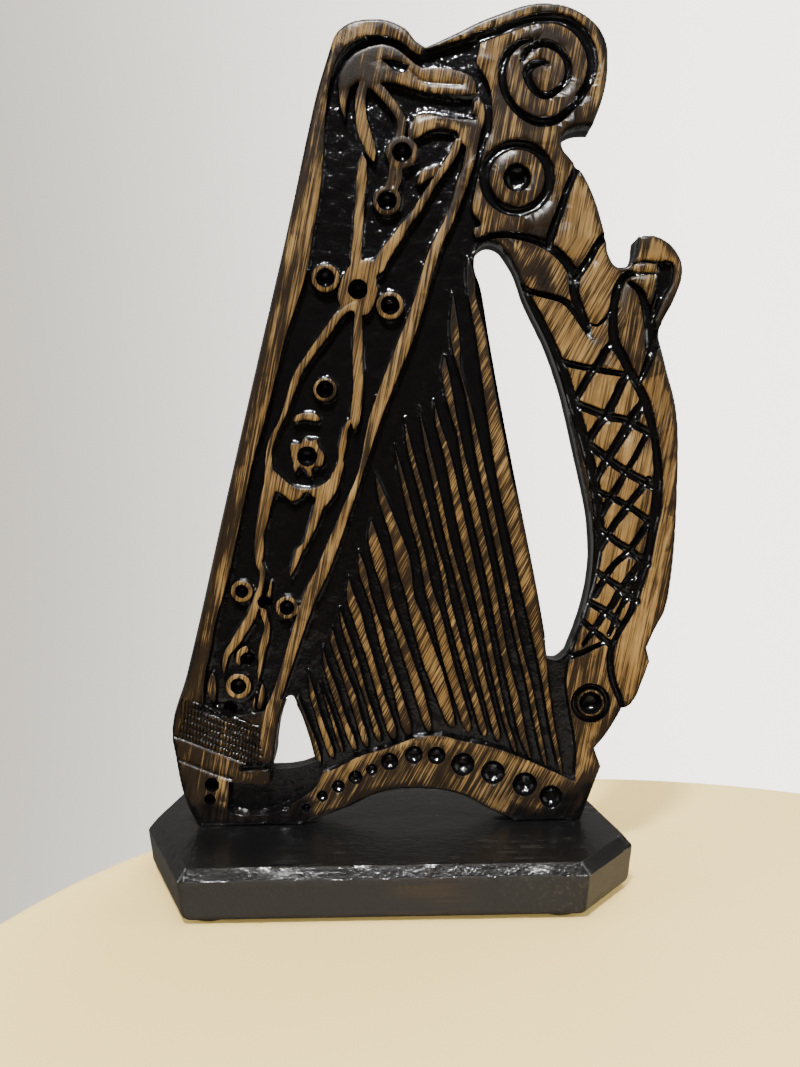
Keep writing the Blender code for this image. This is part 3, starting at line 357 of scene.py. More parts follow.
# ---------------------------------------------------------------- colour of the cut wood
# Where the dark stain stayed on, as (amount, outline): 0 is sanded bright, 1 is black
STAINS = [
    (0.25, [(-80, -5), (110, -5), (110, 285), (-80, 285)]),
    (0.45, [(-74, 42), (-60, 42), (-42, 122), (-18, 215), (-14, 250), (-22, 262), (-40, 200)]),
    (0.6, [(-74, 42), (-60, 42), (-56, 60), (-64, 66)]),
    (0.68, [(-76, -2), (-50, -2), (-50, 14), (-40, 24), (-40, 42), (-60, 46), (-76, 40)]),
    (0.62, [(-78, -2), (-52, -2), (-54, 12), (-60, 20), (-72, 22)]),
    (0.25, [(-56.6, 6), (-54.5, 6), (-54, 19), (-56, 19)]),
    (1.3, [(-78, -6), (-50, -6), (-52, 5), (-62, 9), (-72, 6)]),
    (0.38, [(-40.5, 44), (-42, 24), (-30, 24), (-24, 44), (-33, 60)]),
    (0.22, [(-16, 112), (-12, 70), (-30, 40), (-38, 42), (-20, 92), (28, 215), (36, 230), (38, 214)]),
    (0.5, [(30, 208), (38, 236), (32, 236), (24, 212)]),
    (0.7, [(22, 234), (32, 238), (35, 226), (38, 236), (36, 243), (22, 245)]),
    (0.6, [(0, 244), (14, 244), (18, 226), (13, 206), (0, 206), (3, 226)]),
    (0.4, [(16, 225), (25, 226), (24, 219), (15, 217)]),
    (0.15, [(-16, 262), (-6, 275), (14, 272), (20, 264), (8, 268), (-8, 264)]),
    (0.55, [(34, 196), (44, 199), (60, 198), (66, 226), (66, 240), (44, 238), (40, 226)]),
    (0.9, [(44, 199), (60, 199), (60, 206), (50, 208), (44, 205)]),
    (0.4, [(40, 219), (49.5, 229.5), (58, 220), (50, 210)]),
    (0.25, [(38, 231), (48, 228), (60, 235), (56, 238), (42, 238)]),
    (0.52, [(42, 232), (80, 232), (82, 262), (60, 268), (44, 264)]),
    (0.85, [(44, 258), (56, 270), (68, 266), (70, 260), (60, 265), (50, 262)]),
    (1.1, [(56, 272), (70, 272), (78, 264), (77, 256), (84, 256), (84, 272), (70, 282), (56, 282)]),
    (0.62, [(-13, 248), (-12, 262), (2, 268), (14, 264), (10, 256), (4, 250), (-4, 246)]),
    (0.88, [(-13, 252), (-12, 262), (0, 267), (3, 262), (0, 255), (-5, 252)]),
    (0.45, [(12, 250), (14, 262), (38, 256), (38, 245), (24, 246)]),
    (0.2, [(30, 268), (60, 275), (76, 268), (82, 250), (74, 240), (78, 276), (60, 280)]),
    (0.5, [(48, 250), (52, 262), (62, 262), (62, 244), (54, 242)]),
    (0.35, [(60, 196), (72, 190), (82, 205), (74, 218), (66, 228)]),
    (0.12, [(63, 198), (70, 191), (77, 204), (72, 216), (66, 212)]),
    (0.3, [(70, 170), (78, 168), (86, 190), (78, 198), (70, 190)]),
    (0.45, [(40, 196), (52, 184), (67, 180), (68, 189), (56, 197)]),
    (0.98, [(55.5, 192), (60.8, 190), (61.5, 182), (58, 180.6), (56, 184), (54.5, 188.5)]),
    (0.3, [(56, 180), (74, 168), (78, 158), (62, 160)]),
    (0.08, [(70, 168), (76, 162), (77, 156), (68, 158), (66, 168)]),
    (0.1, [(62, 158), (84, 154), (96, 134), (96, 104), (90, 84), (80, 62), (68, 66), (77, 100), (72, 134)]),
    (0.3, [(86, 150), (97, 132), (97, 104), (90, 84), (86, 84), (90, 104), (90, 132)]),
    (0.55, [(84, 160), (93, 150), (108, 168), (106, 200), (84, 196)]),
    (0.12, [(88, 192), (95, 199), (106, 192), (106, 180), (100, 174), (104, 188), (97, 192)]),
    (0.5, [(86, 190), (96, 191), (96, 186), (86, 184)]),
    (0.32, [(92, 150), (97, 130), (97, 104), (90, 78), (81, 56), (100, 70), (110, 110), (104, 160)]),
    (0.45, [(64, 60), (82, 56), (86, 36), (72, 20), (64, 34)]),
    (0.3, [(69, 44), (77, 44), (77, 36), (69, 36)]),
    (0.55, [(-34, 2), (-20, 16), (20, 31), (44, 26), (30, 14), (-20, 0)]),
    (0.5, [(24, 22), (60, 16), (70, 14), (74, 0), (30, 10)]),
    (1.2, [(38, -4), (45, 6), (55, 3.5), (63, 9.5), (72, 15), (78, 0), (60, -8)]),
    (1.2, [(-53, -6), (-53, 6), (-40, 7), (-30, 11), (-24, 8), (-23, -6)]),
    (0.75, [(-72, 42), (-40, 40), (-40, 22), (-55, 17), (-76, 24)]),
    (0.46, [(-30, 40), (64, 18), (56, 70), (34, 200), (0, 120)]),
    (0.78, [(-52.5, 13), (-39, 12.5), (-36, 21), (-40, 25), (-54, 20)]),
    (0.3, [(-46, 16.5), (-40, 15.5), (-39, 18), (-45, 18.6)]),
    (0.8, [(-76, 8), (-58, 8), (-57.5, 14), (-57.5, 20), (-76, 26)]),
    (1.2, [(-78, -4), (-76, 6), (-60, 5), (-50, 5), (-36, 6), (-30, -4)]),
    (1.2, [(-64, 43), (-46, 41.5), (-42, 39), (-46, 36), (-54, 38), (-62, 40.5)]),
]
# Where the grain leans further over, as outlines
LEANING_GRAIN = [
    [(-30, 40), (66, 14), (58, 62), (40, 170), (34, 196), (0, 120)],
    [(-36, -2), (74, -2), (70, 20), (-30, 30)],
    [(40, 196), (84, 200), (84, 150), (56, 160)],
]

# ---------------------------------------------------------------- the other pieces, in mm
PLINTH_PLAN = [(-63, -47), (65, -47), (84, -22), (77, 27), (63, 47), (-66, 47), (-80, 36), (-84, 2)]
PLINTH_UNDERCUT = 0.975
PLINTH_CHAMFER = 3.4
PLINTH_BOTTOM_ROUND = 2.4
PLINTH_CORNER = 2.0
PLINTH_WAVE, CHAMFER_WAVE = 0.06, 0.2
PLINTH_FRONT_SHARE = 0.62  # the front edge's chamfer is this share of the others' width
SCREW_PLACES = [(-46, 1.5), (58, 1.5)]
SCREW_POCKET_RADIUS, SCREW_POCKET_DEPTH = 4.6, 4.6
PAD_NAMES = ["front_left", "front_right", "back_left", "back_right"]
PAD_TURNS, PAD_FLUFF = 64, 0.16
PAD_PROFILE = [  # share of the radius, share of the thickness
    (0.96, 0.0), (0.985, 0.25), (1.0, 0.5), (0.985, 0.75), (0.95, 0.92), (0.8, 1.0), (0.4, 0.96),
]

# Finishes: linear colours
GOLD = (0.235, 0.142, 0.052)
PALE_GOLD = (0.335, 0.217, 0.090)
TAN = (0.125, 0.076, 0.032)
STREAK = (0.022, 0.015, 0.010)
LACQUER = (0.0045, 0.004, 0.0042)
BACK_STREAK = (0.020, 0.012, 0.007)
PLINTH_TOP, PLINTH_SIDE = (0.005, 0.0048, 0.0048), (0.013, 0.0115, 0.0095)
PLINTH_SCRATCH = (0.04, 0.035, 0.027)
# the second colour is painted light: plinth sides that face right are painted this paler colour
PLINTH_BROWN, PLINTH_RIGHT_PAINTED_LIGHT = (0.030, 0.018, 0.009), (0.075, 0.064, 0.047)
FELT_DARK, FELT_PALE = (0.02, 0.02, 0.02), (0.075, 0.07, 0.065)
ZINC_DARK, ZINC_PALE = (0.42, 0.40, 0.36), (0.62, 0.61, 0.58)


# ---------------------------------------------------------------- small mathematics
def ramp(value):
    """0 below 0, 1 above 1 and smooth between."""
    value = np.clip(value, 0.0, 1.0)
    return value * value * (3 - 2 * value)


def split_corners(points, closed):
    """The points with doubled ones made single, and which of them are corners."""
    knots, corners = [], []
    for point in points:
        if knots and knots[-1] == point:
            corners[-1] = True
        else:
            knots.append(point)
            corners.append(False)
    if closed and len(knots) > 2 and knots[0] == knots[-1]:
        knots.pop()
        corners[0] = corners.pop() or corners[0]
    return np.array(knots, float), corners


def smooth_line(points, closed=False, step=0.8, corners=None):
    """A curve through the points, with a vertex about every step mm."""
    if corners is None:
        knots, corners = split_corners(points, closed)
    else:
        knots = np.array(points, float)
    count = len(knots)
    curve = []
    for i in range(count if closed else count - 1):
        j = (i + 1) % count
        start, end = knots[i], knots[j]
        before = None if corners[i] or (i == 0 and not closed) else knots[i - 1]
        after = None if corners[j] or (j == count - 1 and not closed) else knots[(j + 1) % count]
        length = np.linalg.norm((end - start)[:2])
        leave = end - start
        arrive = end - start
        if before is not None:
            share = length / (length + np.linalg.norm((start - before)[:2]))
            leave = (end - before) * share
        if after is not None:
            share = length / (length + np.linalg.norm((after - end)[:2]))
            arrive = (after - start) * share
        t = np.linspace(0, 1, max(2, math.ceil(length / step)), endpoint=False)[:, None]
        curve.append((2 * t**3 - 3 * t**2 + 1) * start + (t**3 - 2 * t**2 + t) * leave
                     + (3 * t**2 - 2 * t**3) * end + (t**3 - t**2) * arrive)
    if not closed:
        curve.append(knots[-1:])
    return np.concatenate(curve)


def noise(x, z, size, seed):
    """Smooth noise from -1 to 1 with features of this size in mm."""
    table = np.random.default_rng(seed).uniform(-1, 1, (64, 64))
    u, v = x / size, z / size
    iu, iv = np.floor(u).astype(int), np.floor(v).astype(int)
    fu, fv = ramp(u - iu), ramp(v - iv)
    a, b = table[iu % 64, iv % 64], table[(iu + 1) % 64, iv % 64]
    c, d = table[iu % 64, (iv + 1) % 64], table[(iu + 1) % 64, (iv + 1) % 64]
    return (a * (1 - fu) + b * fu) * (1 - fv) + (c * (1 - fu) + d * fu) * fv


# ---------------------------------------------------------------- the relief
class Relief:
    """Depth, stain and lean of the grain over the board's front, on a grid in drawing mm."""

    def __init__(self, low, high):
        margin = 2 * CELL
        self.x = np.arange(low[0] - margin, high[0] + margin + CELL, CELL)
        self.z = np.arange(low[1] - margin, high[1] + margin + CELL, CELL)
        shape = (len(self.z), len(self.x))
        self.depth = np.zeros(shape)
        self.stain = np.zeros(shape)
        self.lean = np.zeros(shape)

    def window(self, low, high):
        """The rows and columns that a box covers."""
        c0, c1 = np.searchsorted(self.x, [low[0], high[0]])
        r0, r1 = np.searchsorted(self.z, [low[1], high[1]])
        return slice(r0, r1), slice(c0, c1)

    def coordinates(self, rows, cols):
        """The x of the columns and the height of the rows."""
        return self.x[cols][None, :], self.z[rows][:, None]

    def around(self, start, end, reach):
        """The cells near a segment, how far along it each one is, from 0 to 1, and its distance."""
        start, end = start[:2], end[:2]
        cells = self.window(np.minimum(start, end) - reach, np.maximum(start, end) + reach)
        x, z = self.coordinates(*cells)
        along = end - start
        t = ((x - start[0]) * along[0] + (z - start[1]) * along[1]) / max(along @ along, 1e-9)
        t = np.clip(t, 0, 1)
        return cells, t, np.hypot(x - start[0] - along[0] * t, z - start[1] - along[1] * t)

    def fill(self, inside, curve):
        """Turns over the cells within a closed curve."""
        for start, end in zip(curve, np.roll(curve, -1, axis=0)):
            low, high = sorted((start[1], end[1]))
            for row in range(*np.searchsorted(self.z, [low, high])):
                share = (self.z[row] - start[1]) / (end[1] - start[1])
                inside[row, np.searchsorted(self.x, start[0] + (end[0] - start[0]) * share):] ^= True

    def stroke(self, line):
        """A line with widths as (rows, columns, distance inside its edge, half width)."""
        curve = smooth_line(line)
        curve[:, 2] = np.maximum(curve[:, 2], 0.1)
        field = np.full(self.depth.shape, -REACH)
        half = np.ones(field.shape)
        for start, end in zip(curve[:-1], curve[1:]):
            cells, t, gap = self.around(start, end, max(start[2], end[2]) / 2 + REACH)
            width = (start[2] + (end[2] - start[2]) * t) / 2
            better = width - gap > field[cells]
            field[cells][better] = (width - gap)[better]
            half[cells][better] = width[better]
        margin = curve[:, 2].max() / 2 + REACH
        cells = self.window(curve[:, :2].min(0) - margin, curve[:, :2].max(0) + margin)
        return *cells, field[cells], half[cells]

    def shape(self, outline, sharp=False):
        """A closed outline as (rows, columns, distance inside its edge, None)."""
        curve = np.array(outline, float) if sharp else smooth_line(outline, closed=True)
        away = np.full(self.depth.shape, REACH)
        inside = np.zeros(away.shape, bool)
        for start, end in zip(curve, np.roll(curve, -1, axis=0)):
            cells, _, gap = self.around(start, end, REACH)
            away[cells] = np.minimum(away[cells], gap)
        self.fill(inside, curve)
        cells = self.window(curve.min(0) - REACH, curve.max(0) + REACH)
        return *cells, np.where(inside, away, -away)[cells], None

    def disc(self, x, z, radius):
        """A round patch as (rows, columns, distance inside its edge, half width)."""
        reach = radius + REACH
        rows, cols = self.window((x - reach, z - reach), (x + reach, z + reach))
        grid_x, grid_z = self.coordinates(rows, cols)
        field = radius - np.hypot(grid_x - x, grid_z - z)
        return rows, cols, field, np.full(field.shape, radius)

    def sink(self, patch, depth, bank=0.7):
        """Lowers a patch to a flat ground."""
        rows, cols, field, _ = patch
        part = self.depth[rows, cols]
        np.maximum(part, depth * ramp(field / bank + 0.5), out=part)

    def lift(self, patch, top, shoulder=0.3, bank=0.7):
        """Leaves a patch standing, its edges a little lower than its middle."""
        rows, cols, field, _ = patch
        part = self.depth[rows, cols]
        weight = ramp(field / bank + 0.5)
        surface = top + shoulder * np.exp(-np.maximum(field, 0) / 0.6)
        part[...] = part * (1 - weight) + np.minimum(part, surface) * weight

    def gouge(self, patch, depth, from_surface=True):
        """Cuts a patch to a round bottom."""
        rows, cols, field, half = patch
        part = self.depth[rows, cols]
        across = 1 - np.clip(field / half, 0, 1)
        cut = depth * np.sqrt(1 - across**2) * np.minimum(1, half / 1.1)
        cut[field <= 0] = 0
        part[...] = np.maximum(part, np.minimum(part, 0.6) + cut if from_surface else cut)

    def bore(self, x, z, radius, depth):
        """Drills a hole with a round bottom and a softened mouth."""
        rows, cols, field, _ = self.disc(x, z, radius + 0.35)
        part = self.depth[rows, cols]
        inside = np.clip(field, 0, radius)
        cut = depth * np.sqrt(1 - (1 - inside / radius) ** 2.6)
        cut[field <= 0] = 0
        np.maximum(part, np.minimum(part, 1.0) + cut, out=part)

    def tint(self, patch, amount, soft=3.0):
        """Brings the stain in a patch to this amount."""
        rows, cols, field, _ = patch
        part = self.stain[rows, cols]
        part += (amount - part) * ramp(field / soft + 0.5)

    def sample(self, values, x, z):
        """A map's values at these places."""
        u = np.clip((x - self.x[0]) / CELL, 0, len(self.x) - 1.001)
        v = np.clip((z - self.z[0]) / CELL, 0, len(self.z) - 1.001)
        c, r = u.astype(int), v.astype(int)
        fu, fv = u - c, v - r
        low = values[r, c] * (1 - fu) + values[r, c + 1] * fu
        high = values[r + 1, c] * (1 - fu) + values[r + 1, c + 1] * fu
        return low * (1 - fv) + high * fv


# ---------------------------------------------------------------- carving the harp
def carve_soundbox(relief):
    """The left panel: ribs, bird's head, rings and rosette left standing on a sunk ground."""
    relief.sink(relief.shape(PANEL), GROUND_DEPTH)
    relief.lift(relief.shape(BELOW_ROSETTE), RAISED)
    for line in BOX_RIBS:
        relief.lift(relief.stroke(line), RAISED)
    for outline in [BIRD_HEAD, LINTEL, GOLD_WEDGE, BOSS]:
        relief.lift(relief.shape(outline), RAISED)
    for line in FEATHERS:
        relief.lift(relief.stroke(line), RAISED + 0.1)
    relief.gouge(relief.stroke([(8.5, 227, 1), (8.3, 220, 1), (6.5, 215, 1)]), 1.2)
    relief.gouge(relief.stroke([(-5.5, 180, 0.8), (-9, 178.2, 1), (-12, 176, 0.8)]), 0.8)
    relief.sink(relief.shape(EYE_SLIT), 1.9)
    relief.gouge(relief.stroke([(12, 257.6, 1), (18, 252.6, 1.6), (24, 251.5, 1.6), (31, 251, 1.2)]), 0.7)
    relief.gouge(relief.stroke(LINTEL_BEVEL), 1.5)
    relief.gouge(relief.stroke(BEAK_BEVEL), 1.2)
    relief.lift(relief.shape(CRESCENT), RAISED)
    relief.sink(relief.disc(-23.3, 128.3, 10.7), GROUND_DEPTH)
    relief.lift(relief.shape(STAR), RAISED)
    for x, z, radius in STAR_HOLES:
        relief.gouge(relief.disc(x, z, radius), 2.4)
    for outline in FOOT_PIECES:
        relief.lift(relief.shape(outline), RAISED)
    for x, z, outer, _ in BOX_RINGS:
        relief.lift(relief.disc(x, z, outer), RAISED)
    for x, z, _, hole in BOX_RINGS:
        relief.bore(x, z, hole, RING_HOLE_DEPTH)


def carve_strings(relief):
    """The strings, each run on a little past its foot."""
    relief.sink(relief.shape(STRING_FIELD), GROUND_DEPTH)
    for line in STRINGS:
        foot, above = line[0], line[1]
        run = STRING_FOOT / math.hypot(foot[0] - above[0], foot[1] - above[1])
        line = [(x, z, width * STRING_WIDENING) for x, z, width in line]
        root = [foot[k] + (foot[k] - above[k]) * run for k in (0, 1)] + [foot[2] * 0.8]
        relief.lift(relief.stroke([root, *line]), RAISED, shoulder=0.5, bank=0.8)


def carve_neck(relief):
    """The cut lines, lattice and rings of the neck, hook and pillar."""
    for line in LINES:
        relief.gouge(relief.stroke(line), LINE_DEPTH)
    for line in LATTICE:
        wider = [(x, z, width * LATTICE_WIDENING) for x, z, width in line]
        relief.gouge(relief.stroke(wider), LATTICE_DEPTH, from_surface=False)
    for start, end in THIN_LINES:
        middle = ((start[0] + end[0]) / 2, (start[1] + end[1]) / 2)
        relief.gouge(relief.stroke([(*start, 0.7), (*middle, 1.1), (*end, 0.7)]), 0.9)
    for line in HOOK_CUTS:
        relief.gouge(relief.stroke(line), 1.2)
    relief.sink(relief.shape(HOOK_DROP), LINE_DEPTH)
    relief.lift(relief.shape(HOOK_SLIVER), 0.2)
    for x, z, inner, outer, hole in CUT_RINGS:
        middle = (inner + outer) / 2
        ring = [(x + middle * math.cos(a), z + middle * math.sin(a), outer - inner)
                for a in np.linspace(0, 2 * math.pi, 33)]
        relief.gouge(relief.stroke(ring), LINE_DEPTH)
        relief.bore(x, z, hole, RING_HOLE_DEPTH)


def carve_weave(relief):
    """The woven band: upright cuts, crossed by long ones."""
    start, end = Vector(WEAVE_START), Vector(WEAVE_END)
    along = (end - start).normalized()
    up = Vector((-along.y, along.x))
    length = (end - start).length
    for column in range(WEAVE_COLUMNS):
        a = start + along * (2 + column * WEAVE_COLUMN_PITCH) + up * 0.4
        b = a + Vector((0.1, 1)) * (WEAVE_PITCH * (WEAVE_ROWS - 1) - 0.6)
        relief.gouge(relief.stroke([(*a, 0.6), (*b, 0.6)]), 3.2, from_surface=False)
    for row in range(WEAVE_ROWS):
        a = start + up * WEAVE_PITCH * row + along * (1.5 if row else 0)
        b = a + along * (length - 1.2 * row)
        line = [(*a, 0.8), (*((a + b) / 2), 1), (*b, 0.8)]
        relief.gouge(relief.stroke(line), 1.9, from_surface=False)


def carve_foot(relief):
    """The left foot and the arch band with its dimples."""
    relief.sink(relief.shape(FOOT_GROUND), FOOT_DEPTH)
    relief.sink(relief.shape(FOOT_LIP_CUT), 2.2)
    relief.gouge(relief.stroke(STEP_LINE), 0.9)
    carve_weave(relief)
    for x, z, radius in ARCH_DIMPLES:
        relief.gouge(relief.disc(x, z, radius), 0.75 * radius + 0.7)
    for x, z, radius in HOLES:
        relief.bore(x, z, radius, PLAIN_HOLE_DEPTH)
    relief.bore(*LOWEST_HOLE)


def spread(values, distance):
    """The values blurred by about this many mm."""
    reach = math.ceil(2 * distance / CELL)
    weights = np.exp(-0.5 * (np.arange(-reach, reach + 1) * CELL / distance) ** 2)
    weights /= weights.sum()
    shifts = range(-reach, reach + 1)
    for axis in (0, 1):
        values = sum(w * np.roll(values, shift, axis) for w, shift in zip(weights, shifts))
    return values


def darken_strings(relief):
    """Black round the tops of the strings and at their feet."""
    x, z = relief.x[None, :], relief.z[:, None]
    line = smooth_line(STRING_FADE)
    below = np.interp(relief.x, line[:, 0], line[:, 1])[None, :] - z
    rows, cols, field, _ = relief.shape(STRING_FIELD)
    inside = np.zeros(relief.stain.shape)
    inside[rows, cols] = ramp(field + 0.5)
    dark = 1 - ramp((below + 4 * noise(x, z, 4.0, 8)) / 10)
    arch = smooth_line([(x, z) for x, z, _ in ARCH_DIMPLES])
    above_arch = z - (np.interp(relief.x, arch[:, 0], arch[:, 1]) + ARCH_TOP)[None, :]
    dark = np.maximum(dark, 1 - ramp((above_arch + 1.5 * noise(x, z, 3.0, 9)) / 4))
    relief.stain += (1.0 - relief.stain) * dark * inside


def paint(relief):
    """Where the stain stayed on, and where the grain leans."""
    for amount, outline in STAINS:
        relief.tint(relief.shape(outline, sharp=True), amount)
    for outline in LEANING_GRAIN:
        rows, cols, field, _ = relief.shape(outline, sharp=True)
        part = relief.lean[rows, cols]
        part += (1 - part) * ramp(field + 0.5)
    x, z = relief.x[None, :], relief.z[:, None]
    relief.stain += 0.12 * noise(x, z, 9.0, 5) + 0.06 * noise(x, z, 3.0, 6)
    relief.stain += 0.4 * spread(ramp(relief.depth - 0.4), HALO)
    darken_strings(relief)


def roughen(relief):
    """Tool marks in the sunk ground, and slight waves on the face."""
    x, z = relief.x[None, :], relief.z[:, None]
    sunk = ramp((relief.depth - 1.2) / 1.5)
    marks = 0.16 * noise(x, z, 3.2, 1) + 0.07 * noise(x, z, 1.1, 2)
    relief.depth += sunk * marks
    relief.depth += (1 - sunk) * (0.05 + 0.05 * noise(x, z, 7.0, 3))
    relief.depth += ramp((9 - z) / 5) * 0.3 * (1 + noise(x, z, 2.4, 4))  # the root is lumpy
    from_band = np.hypot((x - BAND_LUMPS[0]) / BAND_LUMPS[2], (z - BAND_LUMPS[1]) / BAND_LUMPS[3])
    relief.depth += ramp(2 - 2 * from_band) * 0.5 * (1 + noise(x, z, 1.3, 11))


def round_edge(relief, loops):
    """Rounds the face off towards the outline, and returns each cell's distance from it."""
    field = np.full(relief.depth.shape, REACH)
    for loop in loops:
        for start, end in zip(loop, np.roll(loop, -1, axis=0)):
            cells, _, gap = relief.around(start, end, REACH)
            field[cells] = np.minimum(field[cells], gap)
    inward = 1 - np.clip(field / EDGE_ROUND, 0, 1)
    np.maximum(relief.depth, EDGE_ROUND * (1 - np.sqrt(1 - inward**2)), out=relief.depth)
    return field


# ---------------------------------------------------------------- the board's mesh
def outline_loops():
    """The CAD board's outline from its back: the outer loop anticlockwise, the openings clockwise."""
    mesh = bpy.data.objects["harp_board"].data
    edges = set()
    for face in mesh.polygons:
        corners = [mesh.vertices[i].co for i in face.vertices]
        if all(abs(corner.y - BACK_Y) < 0.01 * MM for corner in corners):
            flat = [((c.x - MIDDLE_X) / MM, (c.z - BASE_Z) / MM) for c in corners]
            keys = [(round(x, 2), round(z, 2)) for x, z in flat]
            edges |= {(b, a) for a, b in zip(keys, keys[1:] + keys[:1]) if a != b}
    follow = {a: b for a, b in edges if (b, a) not in edges}
    loops = []
    while follow:
        loop = [min(follow)]
        while loop[-1] in follow:
            loop.append(follow.pop(loop[-1]))
        loops.append(smooth_outline(np.array(loop[:-1])))
    return loops


def smooth_outline(knots):
    """A smooth loop through the knots, with a corner where they turn sharply."""
    arrive, leave = knots - np.roll(knots, 1, axis=0), np.roll(knots, -1, axis=0) - knots
    heading_in, heading_out = np.arctan2(*arrive.T), np.arctan2(*leave.T)
    turn = np.abs((heading_out - heading_in + np.pi) % (2 * np.pi) - np.pi)
    return smooth_line(knots, closed=True, step=OUTLINE_STEP, corners=list(turn > OUTLINE_CORNER))


def moved_inwards(loop, distance):
    """A loop's points moved into the wood, which is on the loop's left."""
    ahead = np.roll(loop, -1, axis=0) - np.roll(loop, 1, axis=0)
    ahead /= np.linalg.norm(ahead, axis=1)[:, None] + 1e-9
    return loop + np.stack([-ahead[:, 1], ahead[:, 0]], axis=1) * np.reshape(distance, (-1, 1))


def inset_loop(relief, field, loop, distance):
    """A loop moved into the wood, straightened over where it would cross itself."""
    points = moved_inwards(loop, distance)
    good = np.flatnonzero(relief.sample(field, *points.T) > 0.85 * distance)
    every = np.arange(len(points))
    columns = [np.interp(every, good, points[good, k], period=len(every)) for k in (0, 1)]
    return np.stack(columns, axis=1)


def within(points, loops):
    """Which points are inside the outline and outside its openings."""
    inside = np.zeros(len(points), bool)
    for loop in loops:
        for start, end in zip(loop, np.roll(loop, -1, axis=0)):
            low, high = sorted((start[1], end[1]))
            if low != high:
                share = (points[:, 1] - start[1]) / (end[1] - start[1])
                cross = start[0] + (end[0] - start[0]) * share
                inside ^= (points[:, 1] >= low) & (points[:, 1] < high) & (points[:, 0] > cross)
    return inside


def closed_edges(start, count):
    """The edges of a closed row of vertices."""
    return [(start + i, start + (i + 1) % count) for i in range(count)]


class MeshParts:
    """Vertices and faces, collected piece by piece."""

    def __init__(self):
        self.points, self.faces, self.count = [], [], 0

    def add(self, points):
        """Adds vertices and returns the first one's index."""
        self.points.append(np.asarray(points, float))
        self.count += len(points)
        return self.count - len(points)

    def band(self, lower, upper, count):
        """Quads between two closed rows of vertices."""
        for i in range(count):
            j = (i + 1) % count
            self.faces.append((lower + i, upper + i, upper + j, lower + j))

    def triangulate(self, flat, edges, mesh_index, place, keep, up=True):
        """Triangles over flat points that keep the edges. place() puts points where they cross."""
        spots, _, faces, sources, _, _ = delaunay_2d_cdt([Vector(p) for p in flat], edges, [], 0, 1e-6)
        spots = np.array([tuple(spot) for spot in spots])
        index = np.array([mesh_index[source[0]] if source else -1 for source in sources])
        extra = np.flatnonzero(index < 0)
        index[extra] = self.add(place(spots[extra])) + np.arange(len(extra))
        triangles = np.array(faces)
        chosen = index[triangles[keep(spots[triangles].mean(axis=1))]]
        self.faces += (chosen if up else chosen[:, ::-1]).tolist()

    def build(self, name):
        """An object made of the parts."""
        mesh = bpy.data.meshes.new(name)
        mesh.from_pydata(np.concatenate(self.points) * MM, [], self.faces)
        mesh.update()
        made = bpy.data.objects.new(name, mesh)
        bpy.context.scene.collection.objects.link(made)
        return made


def board_point(x, depth, z):
    """World mm of drawing points this deep below the front face."""
    return np.stack([x + MIDDLE_X / MM, depth + FRONT_Y / MM, z + BASE_Z / MM], axis=1)


def add_front(parts, relief, loops, field):
    """The carved face: whole grid cells, then triangles out to the outline.

    Returns the first vertex of each loop of the outline.
    """
    def placed(spots):
        return board_point(spots[:, 0], relief.sample(relief.depth, *spots.T), spots[:, 1])

    inside = np.zeros(relief.depth.shape, bool)
    for loop in loops:
        relief.fill(inside, loop)
    solid = inside & (field > 0.3 * CELL)
    full = solid[:-1, :-1] & solid[1:, :-1] & solid[:-1, 1:] & solid[1:, 1:]
    index = np.full(relief.depth.shape, -1)
    used = np.zeros(relief.depth.shape, bool)
    for rows, cols in ((slice(None, -1), slice(None, -1)), (slice(1, None), slice(None, -1)),
                       (slice(None, -1), slice(1, None)), (slice(1, None), slice(1, None))):
        used[rows, cols] |= full
    r, c = np.nonzero(used)
    first = parts.add(board_point(relief.x[c], relief.depth[r, c], relief.z[r]))
    index[r, c] = first + np.arange(len(r))
    r, c = np.nonzero(full)
    quads = np.stack([index[r, c], index[r, c + 1], index[r + 1, c + 1], index[r + 1, c]], axis=1)
    parts.faces += quads.tolist()

    padded = np.pad(full, 1)
    r, c = np.nonzero(padded[1:, 1:-1] != padded[:-1, 1:-1])  # rims along x
    rims = [(index[a, b], index[a, b + 1]) for a, b in zip(r, c)]
    r, c = np.nonzero(padded[1:-1, 1:] != padded[1:-1, :-1])  # rims along z
    rims += [(index[a, b], index[a + 1, b]) for a, b in zip(r, c)]
    rim_vertices = sorted({int(v) for rim in rims for v in rim})
    local = {vertex: i for i, vertex in enumerate(rim_vertices)}
    grid = parts.points[0][np.array(rim_vertices) - first]
    flat = [(p[0] - MIDDLE_X / MM, p[2] - BASE_Z / MM) for p in grid]
    edges = [(local[a], local[b]) for a, b in rims]
    mesh_index = list(rim_vertices)
    starts = []
    for loop in loops:
        start = parts.add(placed(loop))
        starts.append(start)
        edges += closed_edges(len(flat), len(loop))
        mesh_index += range(start, start + len(loop))
        flat += loop.tolist()

    def uncovered(centres):
        col = np.clip(((centres[:, 0] - relief.x[0]) / CELL).astype(int), 0, full.shape[1] - 1)
        row = np.clip(((centres[:, 1] - relief.z[0]) / CELL).astype(int), 0, full.shape[0] - 1)
        return within(centres, loops) & ~full[row, col]

    parts.triangulate(flat, edges, mesh_index, placed, uncovered)
    return starts


